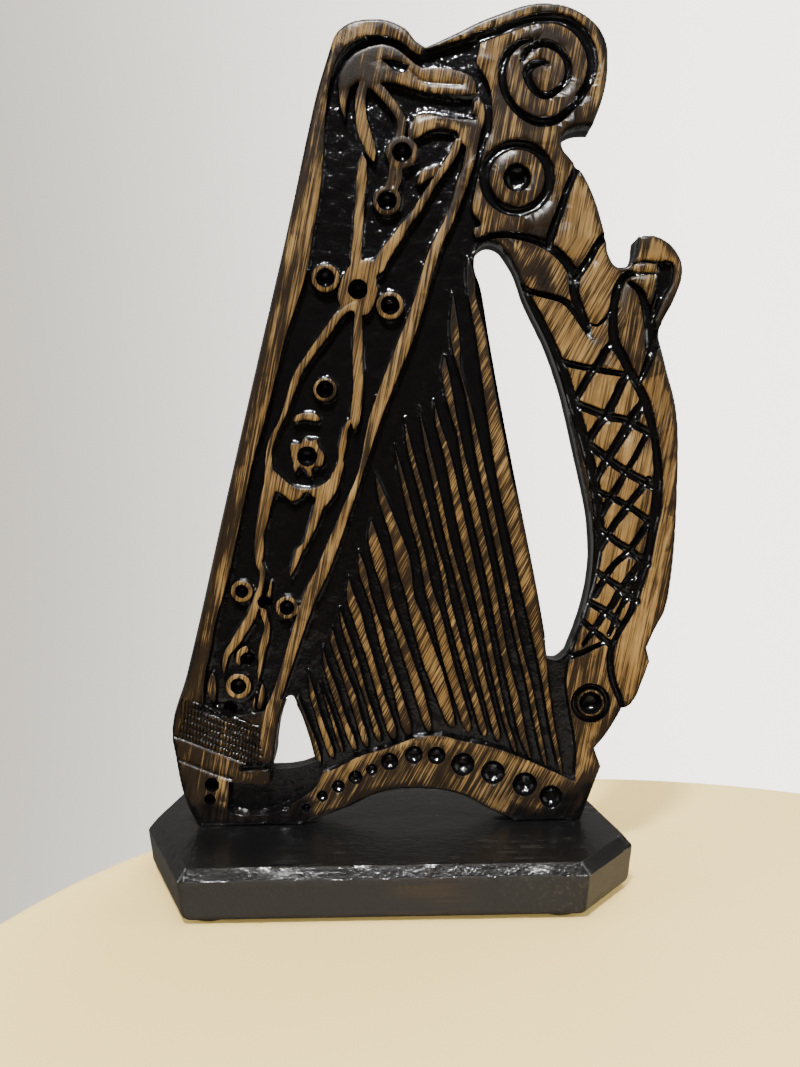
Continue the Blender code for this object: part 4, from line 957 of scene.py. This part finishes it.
def add_walls(parts, relief, loops, starts, field):
    """The sawn sides, and a rounded edge to the back.

    Returns the back's inset loops and their first vertices.
    """
    rims = []
    for loop, start in zip(loops, starts):
        count = len(loop)
        front = relief.sample(relief.depth, *loop.T)
        below = start
        path = np.cumsum(np.linalg.norm(np.roll(loop, -1, axis=0) - loop, axis=1))
        for share in WALL_ROWS:
            depth = front + (THICKNESS - BACK_ROUND - front) * share
            wave = WALL_WAVE * (1 + noise(path, depth * 0.4, 2.4, 21)) * min(1, 4 * share)
            points = moved_inwards(loop, wave)
            row = parts.add(board_point(points[:, 0], depth, points[:, 1]))
            parts.band(below, row, count)
            below = row
        corner = 0.3 * BACK_ROUND
        for inset, depth in ((corner, THICKNESS - corner), (BACK_ROUND, THICKNESS)):
            points = inset_loop(relief, field, loop, inset + WALL_WAVE)
            row = parts.add(board_point(points[:, 0], np.full(count, depth), points[:, 1]))
            parts.band(below, row, count)
            below = row
        rims.append((points, row))
    return rims


def add_back(parts, relief, rims, field):
    """The flat back, a little uneven."""
    flat, edges, mesh_index = [], [], []
    for points, start in rims:
        edges += closed_edges(len(flat), len(points))
        mesh_index += range(start, start + len(points))
        flat += points.tolist()
    columns = np.arange(relief.x[0], relief.x[-1], BACK_STEP)
    x, z = np.meshgrid(columns, np.arange(relief.z[0], relief.z[-1], BACK_STEP))
    spots = np.stack([x.ravel(), z.ravel()], axis=1)
    outlines = [points for points, _ in rims]
    spots = spots[within(spots, outlines) & (relief.sample(field, *spots.T) > BACK_ROUND + 1.2)]
    depth = THICKNESS - 0.1 * (1 + noise(spots[:, 0], spots[:, 1], 14.0, 31))
    start = parts.add(board_point(spots[:, 0], depth, spots[:, 1]))
    mesh_index += range(start, start + len(spots))
    flat += spots.tolist()

    def placed(spots):
        return board_point(spots[:, 0], np.full(len(spots), THICKNESS), spots[:, 1])

    def inside(spots):
        return within(spots, outlines)

    parts.triangulate(flat, edges, mesh_index, placed, inside, up=False)


def thinned(made, faces):
    """The object with its mesh reduced to about this many triangles."""
    triangles = sum(len(face.vertices) - 2 for face in made.data.polygons)
    thin = made.modifiers.new("thin", "DECIMATE")
    thin.ratio = min(1.0, faces / triangles)
    graph = bpy.context.evaluated_depsgraph_get()
    mesh = bpy.data.meshes.new_from_object(made.evaluated_get(graph))
    made.modifiers.clear()
    made.data = mesh
    return made


def finish_piece(made, angle, material, node):
    """Shades a piece smooth up to an angle, gives it its finish and puts it in a CAD node's place."""
    made.data.shade_smooth()
    made.data.set_sharp_from_angle(angle=math.radians(angle))
    made.data.materials.append(material)
    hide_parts(node)
    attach(made, "root")


def store_maps(made, relief):
    """Puts the stain and the grain's lean on the vertices, for the wood's shader."""
    mesh = made.data
    places = np.empty(len(mesh.vertices) * 3)
    mesh.vertices.foreach_get("co", places)
    places = places.reshape(-1, 3)
    x, z = (places[:, 0] - MIDDLE_X) / MM, (places[:, 2] - BASE_Z) / MM
    for name, values in (("stain", relief.stain), ("lean", relief.lean)):
        layer = mesh.attributes.new(name, "FLOAT", "POINT")
        layer.data.foreach_set("value", relief.sample(values, x, z).astype(np.float32))


def build_board(finish):
    """The carved board, in the outline of the CAD board."""
    loops = outline_loops()
    everything = np.concatenate(loops)
    relief = Relief(everything.min(0), everything.max(0))
    for carve in (carve_soundbox, carve_strings, carve_neck, carve_foot, roughen, paint):
        carve(relief)
    field = round_edge(relief, loops)
    relief.stain += 0.75 * ramp((RIM_STAIN - field) / RIM_STAIN)
    np.clip(relief.depth, 0.0, DEEPEST, out=relief.depth)
    parts = MeshParts()
    starts = add_front(parts, relief, loops, field)
    rims = add_walls(parts, relief, loops, starts, field)
    add_back(parts, relief, rims, field)
    board = thinned(parts.build("carved_board"), BOARD_FACES)
    store_maps(board, relief)
    finish_piece(board, 60, finish, "harp_board")


# ---------------------------------------------------------------- plinth and pads
def plinth_ring(inset, scale):
    """The plinth's plan scaled and moved in by inset mm, less at the front, with rounded corners."""
    plan = np.array(PLINTH_PLAN, float)
    sides = np.roll(plan, -1, axis=0) - plan
    lengths = np.linalg.norm(sides, axis=1)
    ahead = sides / lengths[:, None]
    inward = np.stack([-ahead[:, 1], ahead[:, 0]], axis=1)
    share = np.ones(len(plan))
    share[0] = PLINTH_FRONT_SHARE
    reach = (plan * scale * inward).sum(axis=1) + inset * share
    numbers = range(len(plan))
    corners = [np.linalg.solve([inward[i - 1], inward[i]], [reach[i - 1], reach[i]]) for i in numbers]
    cuts = [PLINTH_CORNER * math.tan(math.acos(ahead[i - 1] @ ahead[i]) / 2) for i in numbers]
    ring = []
    for i, corner in enumerate(corners):
        for t in np.linspace(0, 1, 5):
            a, b = corner - ahead[i - 1] * cuts[i] * (1 - t), corner + ahead[i] * cuts[i] * t
            ring.append(a * (1 - t) + b * t)
        following = (i + 1) % len(corners)
        start, end = ring[-1], corners[following] - ahead[i] * cuts[following]
        steps = int(lengths[i] / PLINTH_STEP)
        ring += [start + (end - start) * k / steps for k in range(1, steps)]
    return np.array(ring)


def plinth_profile():
    """Rings from the underside to the top as (inset, height above the bottom)."""
    height = (PLINTH_HIGH.z - PLINTH_LOW.z) / MM
    rings = []
    for a in np.linspace(0, math.pi / 2, 6):
        inset, level = 1 - math.sin(a), 1 - math.cos(a)
        rings.append((PLINTH_BOTTOM_ROUND * inset, PLINTH_BOTTOM_ROUND * level))
    shoulder = height - PLINTH_CHAMFER
    for share in (0.2, 0.4, 0.6, 0.8):
        rings.append((0, PLINTH_BOTTOM_ROUND + (shoulder - 0.4 - PLINTH_BOTTOM_ROUND) * share))
    rings += [(0, shoulder - 0.4), (0.1, shoulder), (0.45, shoulder + 0.4)]
    for share in (0.3, 0.6):
        rise = 0.4 + share * (PLINTH_CHAMFER - 0.8)
        rings.append((0.45 + share * (PLINTH_CHAMFER - 1.0), shoulder + rise))
    top = [(-0.45, 0.3), (0, 0.06), (0.5, 0)]  # how far in from the chamfer's edge, and how far down
    return rings + [(PLINTH_CHAMFER + inset, height - drop) for inset, drop in top]


def plinth_point(ring, height, dent=0.0):
    """World mm of points of the plan at a height above the plinth's bottom."""
    x = ring[:, 0] + MIDDLE_X / MM
    y = ring[:, 1]
    return np.stack([x, y, np.full(len(ring), height) + PLINTH_LOW.z / MM - dent], axis=1)


def add_cap(parts, ring, first, height, openings, up, seed):
    """Closes the plinth's top or underside, and returns the first vertex of each round opening."""
    flat, edges = ring.tolist(), closed_edges(0, len(ring))
    mesh_index = list(range(first, first + len(ring)))
    starts = []
    for circle in openings:
        start = parts.add(plinth_point(circle, height))
        starts.append(start)
        edges += closed_edges(len(flat), len(circle))
        mesh_index += range(start, start + len(circle))
        flat += circle.tolist()
    x, y = np.meshgrid(np.arange(-90, 90, PLINTH_STEP), np.arange(-50, 50, PLINTH_STEP))
    spots = np.stack([x.ravel(), y.ravel()], axis=1)
    spots = spots[within(spots, [ring * 0.985])]
    for circle in openings:
        away = np.linalg.norm(spots - circle.mean(axis=0), axis=1)
        spots = spots[away > SCREW_POCKET_RADIUS + 0.8]
    dent = 0.05 * (1 + noise(spots[:, 0], spots[:, 1], 6.0, seed)) * (1 if up else -1)
    start = parts.add(plinth_point(spots, height, dent))
    mesh_index += range(start, start + len(spots))
    flat += spots.tolist()
    parts.triangulate(flat, edges, mesh_index, lambda spots: plinth_point(spots, height),
                      lambda spots: within(spots, [ring] + openings), up)
    return starts


def add_pocket(parts, circle, start):
    """A screw's recess in the underside."""
    below = start
    for height in (SCREW_POCKET_DEPTH * 0.5, SCREW_POCKET_DEPTH):
        row = parts.add(plinth_point(circle, height))
        parts.band(below, row, len(circle))
        below = row
    parts.faces.append(tuple(range(below, below + len(circle)))[::-1])


def build_plinth(finish):
    """The plinth, its edges a little wavy, with a recess for each screw underneath."""
    parts = MeshParts()
    height = (PLINTH_HIGH.z - PLINTH_LOW.z) / MM
    below = None
    for number, (inset, level) in enumerate(plinth_profile()):
        scale = PLINTH_UNDERCUT + (1 - PLINTH_UNDERCUT) * level / height
        ring = plinth_ring(inset, scale)
        path = np.cumsum(np.linalg.norm(np.roll(ring, -1, axis=0) - ring, axis=1))
        if 0 < level < height - 0.1:
            wave = PLINTH_WAVE if level < height - PLINTH_CHAMFER else CHAMFER_WAVE
            ring = moved_inwards(ring, wave * (1 + noise(path, np.full(len(path), level), 2.6, 41)))
        row = parts.add(plinth_point(ring, level))
        if below is None:
            bottom, bottom_row = ring, row
        else:
            parts.band(row, below, len(ring))
        below = row
    turns = np.linspace(0, 2 * math.pi, 32, endpoint=False)
    circle = SCREW_POCKET_RADIUS * np.stack([np.cos(turns), np.sin(turns)], axis=1)
    circles = [circle + place for place in SCREW_PLACES]
    add_cap(parts, ring, below, height, [], True, 42)
    starts = add_cap(parts, bottom, bottom_row, 0.0, circles, False, 43)
    for circle, start in zip(circles, starts):
        add_pocket(parts, circle, start)
    plinth = parts.build("lacquered_plinth")
    finish_piece(plinth, 30, finish, "plinth")


def felt_mesh(name, low, high):
    """A felt disc in this box, a little domed and fluffy at the rim."""
    centre, radius = (low + high) / 2 / MM, (high.x - low.x) / 2 / MM
    thickness = (high.z - low.z) / MM
    fluff = np.random.default_rng(len(name)).uniform(0, PAD_FLUFF, PAD_TURNS)
    work = bmesh.new()
    rings = []
    for share, level in PAD_PROFILE:
        ring = []
        for k in range(PAD_TURNS):
            a = 2 * math.pi * k / PAD_TURNS
            reach = radius * share - fluff[k] * (share > 0.9)
            x, y = centre.x + reach * math.cos(a), centre.y + reach * math.sin(a)
            ring.append(work.verts.new(Vector((x, y, low.z / MM + thickness * level)) * MM))
        rings.append(ring)
    for lower, upper in zip(rings, rings[1:]):
        for k in range(PAD_TURNS):
            j = (k + 1) % PAD_TURNS
            work.faces.new((lower[k], lower[j], upper[j], upper[k]))
    work.faces.new(rings[0][::-1])
    work.faces.new(rings[-1])
    mesh = bpy.data.meshes.new(f"felt_{name}")
    work.to_mesh(mesh)
    work.free()
    return mesh


def build_pads(finish):
    """Four felt pads under the plinth."""
    for name in PAD_NAMES:
        node = f"felt_pad_{name}"
        pad = bpy.data.objects.new(f"felt_{name}", felt_mesh(name, *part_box(node)))
        bpy.context.scene.collection.objects.link(pad)
        finish_piece(pad, 50, finish, node)


# ---------------------------------------------------------------- materials
def add_node(tree, kind, values=None, **settings):
    """A shader node with these inputs, each a number or another node's output."""
    node = tree.nodes.new(kind)
    for key, value in settings.items():
        setattr(node, key, value)
    for key, value in (values or {}).items():
        if isinstance(value, bpy.types.NodeSocket):
            tree.links.new(value, node.inputs[key])
        else:
            node.inputs[key].default_value = value
    return node


def calc(tree, operation, a, b=0.0):
    """Arithmetic on two numbers."""
    return add_node(tree, "ShaderNodeMath", {0: a, 1: b}, operation=operation).outputs[0]


def fade(tree, value, low, high):
    """0 where value is below low, 1 above high."""
    ends = {0: value, 1: low, 2: high}
    return add_node(tree, "ShaderNodeMapRange", ends, interpolation_type="SMOOTHSTEP").outputs[0]


def blend(tree, share, a, b):
    """A mix of two colours."""
    colours = {6: (*a, 1) if isinstance(a, tuple) else a, 7: (*b, 1) if isinstance(b, tuple) else b}
    return add_node(tree, "ShaderNodeMix", {0: share, **colours}, data_type="RGBA").outputs[2]


def between(tree, share, a, b):
    """A mix of two numbers."""
    return add_node(tree, "ShaderNodeMix", {0: share, 2: a, 3: b}, data_type="FLOAT").outputs[0]


def streaks(tree, place, lean, size, detail=3.0):
    """Noise drawn out along the grain, which leans lean degrees to the right. Size is in mm."""
    turned = add_node(tree, "ShaderNodeMapping", {
        "Vector": place, "Rotation": (0, math.radians(lean), 0), "Scale": tuple(s * MM for s in size),
    }, vector_type="TEXTURE")
    return add_node(tree, "ShaderNodeTexNoise", {
        "Vector": turned.outputs[0], "Scale": 1.0, "Detail": detail, "Roughness": 0.6,
    }).outputs["Fac"]


def new_material(name):
    """A material as (material, its tree, its Principled BSDF, object coordinates)."""
    material = bpy.data.materials.new(name)
    material.use_nodes = True
    tree = material.node_tree
    place = add_node(tree, "ShaderNodeTexCoord").outputs["Object"]
    return material, tree, tree.nodes["Principled BSDF"], place


def speckle(tree, place, size, detail=4.0):
    """Even noise with features of this size in mm."""
    return add_node(tree, "ShaderNodeTexNoise", {
        "Vector": place, "Scale": 1 / (size * MM), "Detail": detail, "Roughness": 0.6,
    }).outputs["Fac"]


def connect(tree, shader, values):
    """Sets a shader's inputs."""
    for key, value in values.items():
        if isinstance(value, bpy.types.NodeSocket):
            tree.links.new(value, shader.inputs[key])
        else:
            shader.inputs[key].default_value = (*value, 1) if isinstance(value, tuple) else value


def wood_grain(tree, place):
    """Streaks that follow the grain's lean."""
    lean = add_node(tree, "ShaderNodeAttribute", attribute_name="lean").outputs["Fac"]
    grains = []
    for angle, share in zip(GRAIN_LEANS, BROAD_GRAIN):
        fine = streaks(tree, place, angle, (0.42, 3.0, 16.0))
        broad = streaks(tree, place, angle, (2.2, 6.0, 40.0), 2.0)
        grains.append(between(tree, share, fine, broad))
    return between(tree, lean, *grains)


def wood_finish():
    """Sanded golden wood with dark streaks, and black lacquer wherever it is carved away."""
    material, tree, shader, place = new_material("burnt_wood")
    stain = add_node(tree, "ShaderNodeAttribute", attribute_name="stain").outputs["Fac"]
    grain = wood_grain(tree, place)
    wide = calc(tree, "MULTIPLY", calc(tree, "SUBTRACT", grain, 0.5), GRAIN_CONTRAST)
    shifted = calc(tree, "ADD", wide, calc(tree, "MULTIPLY", stain, 0.8))
    dark = fade(tree, shifted, 0.14, 0.52)
    tone = fade(tree, speckle(tree, place, 9.0, 2.0), 0.35, 0.65)
    gold = blend(tree, tone, GOLD, PALE_GOLD)
    gold = blend(tree, fade(tree, wide, -0.25, 0.2), gold, TAN)
    lacquered = fade(tree, shifted, 0.72, 1.0)
    wood = blend(tree, lacquered, blend(tree, dark, gold, STREAK), LACQUER)
    behind = add_node(tree, "ShaderNodeSeparateXYZ", {0: place}).outputs["Y"]
    depth = calc(tree, "MULTIPLY", calc(tree, "SUBTRACT", behind, FRONT_Y), 1 / MM)
    wobble = calc(tree, "MULTIPLY", calc(tree, "SUBTRACT", speckle(tree, place, 1.6), 0.5), 0.9)
    sunk = fade(tree, calc(tree, "ADD", depth, wobble), 0.42, 0.95)
    side = fade(tree, depth, 6.0, 7.0)
    bark = calc(tree, "MULTIPLY", side, fade(tree, grain, 0.47, 0.64))
    colour = blend(tree, bark, blend(tree, sunk, wood, LACQUER), BACK_STREAK)
    coated = calc(tree, "MAXIMUM", sunk, calc(tree, "MULTIPLY", lacquered, 0.12))
    lumps = add_node(tree, "ShaderNodeBump", {
        "Strength": between(tree, sunk, 0.2, 0.75), "Distance": 0.26 * MM,
        "Height": speckle(tree, place, 1.1, 3.0),
    })
    fine = add_node(tree, "ShaderNodeBump", {
        "Strength": 0.5, "Distance": 0.12 * MM, "Height": grain, "Normal": lumps.outputs[0],
    })
    connect(tree, shader, {
        "Base Color": colour,
        "Roughness": between(tree, side, between(tree, coated, 0.3, 0.1), 0.45),
        "Specular IOR Level": between(tree, side, between(tree, coated, 0.05, 0.4), 0.16),
        "Normal": fine.outputs[0],
    })
    return material


def plinth_finish():
    """Black lacquer on top. The sides show rubbing, are brown in one place and scratched at the right, and
    are painted paler where they face right: painted light.
    """
    material, tree, shader, place = new_material("black_lacquer")
    facing = add_node(tree, "ShaderNodeNewGeometry").outputs["Normal"]
    normal = add_node(tree, "ShaderNodeSeparateXYZ", {0: facing})
    across = add_node(tree, "ShaderNodeSeparateXYZ", {0: place}).outputs["X"]
    side = calc(tree, "SUBTRACT", 1.0, fade(tree, normal.outputs["Z"], 0.2, 0.5))
    scratches = fade(tree, speckle(tree, place, 1.2, 6.0), 0.48, 0.7)
    streaky = fade(tree, streaks(tree, place, 90, (1.2, 3.0, 25.0)), 0.4, 0.65)
    worn = calc(tree, "MULTIPLY", fade(tree, speckle(tree, place, 28.0, 3.0), 0.5, 0.72), streaky)
    scratched = calc(tree, "MULTIPLY", scratches, fade(tree, across, 0.01, 0.06))
    rubbed_and_lit_sides = blend(tree, scratched, PLINTH_SIDE, PLINTH_SCRATCH)
    from_patch = calc(tree, "ABSOLUTE", calc(tree, "SUBTRACT", across, 0.004))
    patch = calc(tree, "MULTIPLY", fade(tree, from_patch, 0.019, 0.002), streaky)
    rubbed_and_lit_sides = blend(tree, patch, rubbed_and_lit_sides, PLINTH_BROWN)
    # painted light: sides that face right are painted paler
    rubbed_and_lit_sides = blend(tree, fade(tree, normal.outputs["X"], 0.35, 0.75), rubbed_and_lit_sides, PLINTH_RIGHT_PAINTED_LIGHT)
    colour = blend(tree, side, blend(tree, worn, PLINTH_TOP, PLINTH_SIDE), rubbed_and_lit_sides)
    broad = add_node(tree, "ShaderNodeBump", {
        "Strength": 0.7, "Distance": 0.3 * MM, "Height": speckle(tree, place, 3.0, 6.0),
    })
    fine = add_node(tree, "ShaderNodeBump", {
        "Strength": 0.7, "Distance": 0.2 * MM, "Height": speckle(tree, place, 0.9, 3.0),
        "Normal": broad.outputs[0],
    })
    connect(tree, shader, {
        "Base Color": colour, "Roughness": between(tree, side, between(tree, worn, 0.17, 0.4), 0.42),
        "Normal": fine.outputs[0], "Specular IOR Level": 0.4,
    })
    return material


def felt_finish():
    """Matt black felt."""
    material, tree, shader, place = new_material("pad_felt")
    fluff = speckle(tree, place, 0.35, 5.0)
    bump = add_node(tree, "ShaderNodeBump", {"Strength": 0.9, "Distance": 0.2 * MM, "Height": fluff})
    connect(tree, shader, {
        "Base Color": blend(tree, fluff, FELT_DARK, FELT_PALE), "Roughness": 0.95,
        "Normal": bump.outputs[0], "Sheen Weight": 0.3,
    })
    return material


def steel_finish():
    """Blotched zinc plating."""
    material, tree, shader, place = new_material("zinc_steel")
    blotch = speckle(tree, place, 1.0, 4.0)
    connect(tree, shader, {
        "Base Color": blend(tree, blotch, ZINC_DARK, ZINC_PALE), "Metallic": 1.0,
        "Roughness": between(tree, blotch, 0.25, 0.45),
    })
    return material


def paint_screws(finish):
    """The CAD's screws, with a better finish."""
    for side in ("left", "right"):
        screw = bpy.data.objects[f"screw_{side}_foot"]
        screw.data.materials.clear()
        screw.data.materials.append(finish)


# ---------------------------------------------------------------- floor, light and camera
def floor_finish():
    """Pale cream, but dim in the lacquer's reflections."""
    material, tree, shader, _ = new_material("floor_cream")
    mirrored = add_node(tree, "ShaderNodeLightPath").outputs["Is Glossy Ray"]
    colour = blend(tree, mirrored, FLOOR_COLOUR, tuple(c * FLOOR_MIRRORED for c in FLOOR_COLOUR))
    connect(tree, shader, {
        "Base Color": colour, "Roughness": 0.6, "Emission Color": colour, "Emission Strength": FLOOR_GLOW,
    })
    return material


def build_floor():
    """A pale round table top whose far edge passes just behind the plinth."""
    flat = FLOOR_RADIUS - FLOOR_EDGE_ROUND
    profile = [(flat, 0.0)]
    for a in np.linspace(0.2, math.pi / 2, 7):
        drop = FLOOR_EDGE_ROUND - FLOOR_EDGE_ROUND * math.cos(a)
        profile.append((flat + FLOOR_EDGE_ROUND * math.sin(a), -drop))
    profile.append((FLOOR_RADIUS, -FLOOR_EDGE_DROP))
    parts = MeshParts()
    turns = np.linspace(0, 2 * math.pi, 180, endpoint=False)
    circle = np.stack([np.cos(turns), np.sin(turns)], axis=1)
    below = None
    for radius, height in profile:
        ring = radius * circle + FLOOR_CENTRE
        row = parts.add(np.column_stack([ring, np.full(len(ring), height)]))
        if below is None:
            parts.faces.append(tuple(range(row, row + len(turns))))
        else:
            parts.band(below, row, len(turns))
        below = row
    floor = parts.build("floor")
    floor.data.shade_smooth()
    floor.data.set_sharp_from_angle(angle=math.radians(40))
    floor.data.materials.append(floor_finish())


def add_light(name, place, size, power):
    """A soft round lamp aimed at the object's middle. The one named glints lights nothing else."""
    lamp = bpy.data.lights.new(name, "AREA")
    lamp.shape = "DISK"
    lamp.size = size
    lamp.energy = power
    made = bpy.data.objects.new(name, lamp)
    made.location = place
    made.rotation_euler = (Vector(LIGHT_TARGET) - Vector(place)).to_track_quat("-Z", "Y").to_euler()
    made.visible_camera = False
    made.visible_diffuse = name != "glints"
    bpy.context.scene.collection.objects.link(made)


def build_world():
    """Pale backdrop for the camera, painted darker at the left and brighter at the right as painted shade
    and light, and for everything else brighter behind the object than in front of it.
    """
    world = bpy.data.worlds.new("room")
    bpy.context.scene.world = world
    world.use_nodes = True
    tree = world.node_tree
    tree.nodes.clear()
    direction = add_node(tree, "ShaderNodeTexCoord").outputs["Generated"]
    parts = add_node(tree, "ShaderNodeSeparateXYZ", {0: direction})
    around = blend(tree, fade(tree, parts.outputs["Y"], -0.5, 0.7), ROOM_FRONT, ROOM_BEHIND)
    # painted shade and light: the wall the camera sees grows brighter towards the right
    backdrop_painted_light = blend(tree, fade(tree, parts.outputs["X"], -0.45, 0.4), WALL_LEFT_PAINTED_SHADE, WALL_RIGHT_PAINTED_LIGHT)
    seen = add_node(tree, "ShaderNodeLightPath").outputs["Is Camera Ray"]
    colour = blend(tree, seen, around, backdrop_painted_light)
    background = add_node(tree, "ShaderNodeBackground", {"Color": colour, "Strength": 1.0})
    add_node(tree, "ShaderNodeOutputWorld", {0: background.outputs[0]})


def build_camera():
    """Level with the middle of the board, looking a little down."""
    camera = bpy.data.cameras.new("camera")
    camera.lens = CAMERA_LENS
    camera.sensor_width = CAMERA_SENSOR
    camera.clip_start, camera.clip_end = 0.01, 20
    made = bpy.data.objects.new("camera", camera)
    pitch = Matrix.Rotation(math.radians(90 - CAMERA_DIP), 4, "X")
    roll = Matrix.Rotation(math.radians(CAMERA_ROLL), 4, "Z")
    made.matrix_world = Matrix.Translation(Vector(CAMERA_PLACE) * MM) @ pitch @ roll
    bpy.context.scene.collection.objects.link(made)
    bpy.context.scene.camera = made


def main():
    build_board(wood_finish())
    build_plinth(plinth_finish())
    build_pads(felt_finish())
    paint_screws(steel_finish())
    build_floor()
    build_world()
    for light in LIGHTS:
        add_light(*light)
    build_camera()


main()
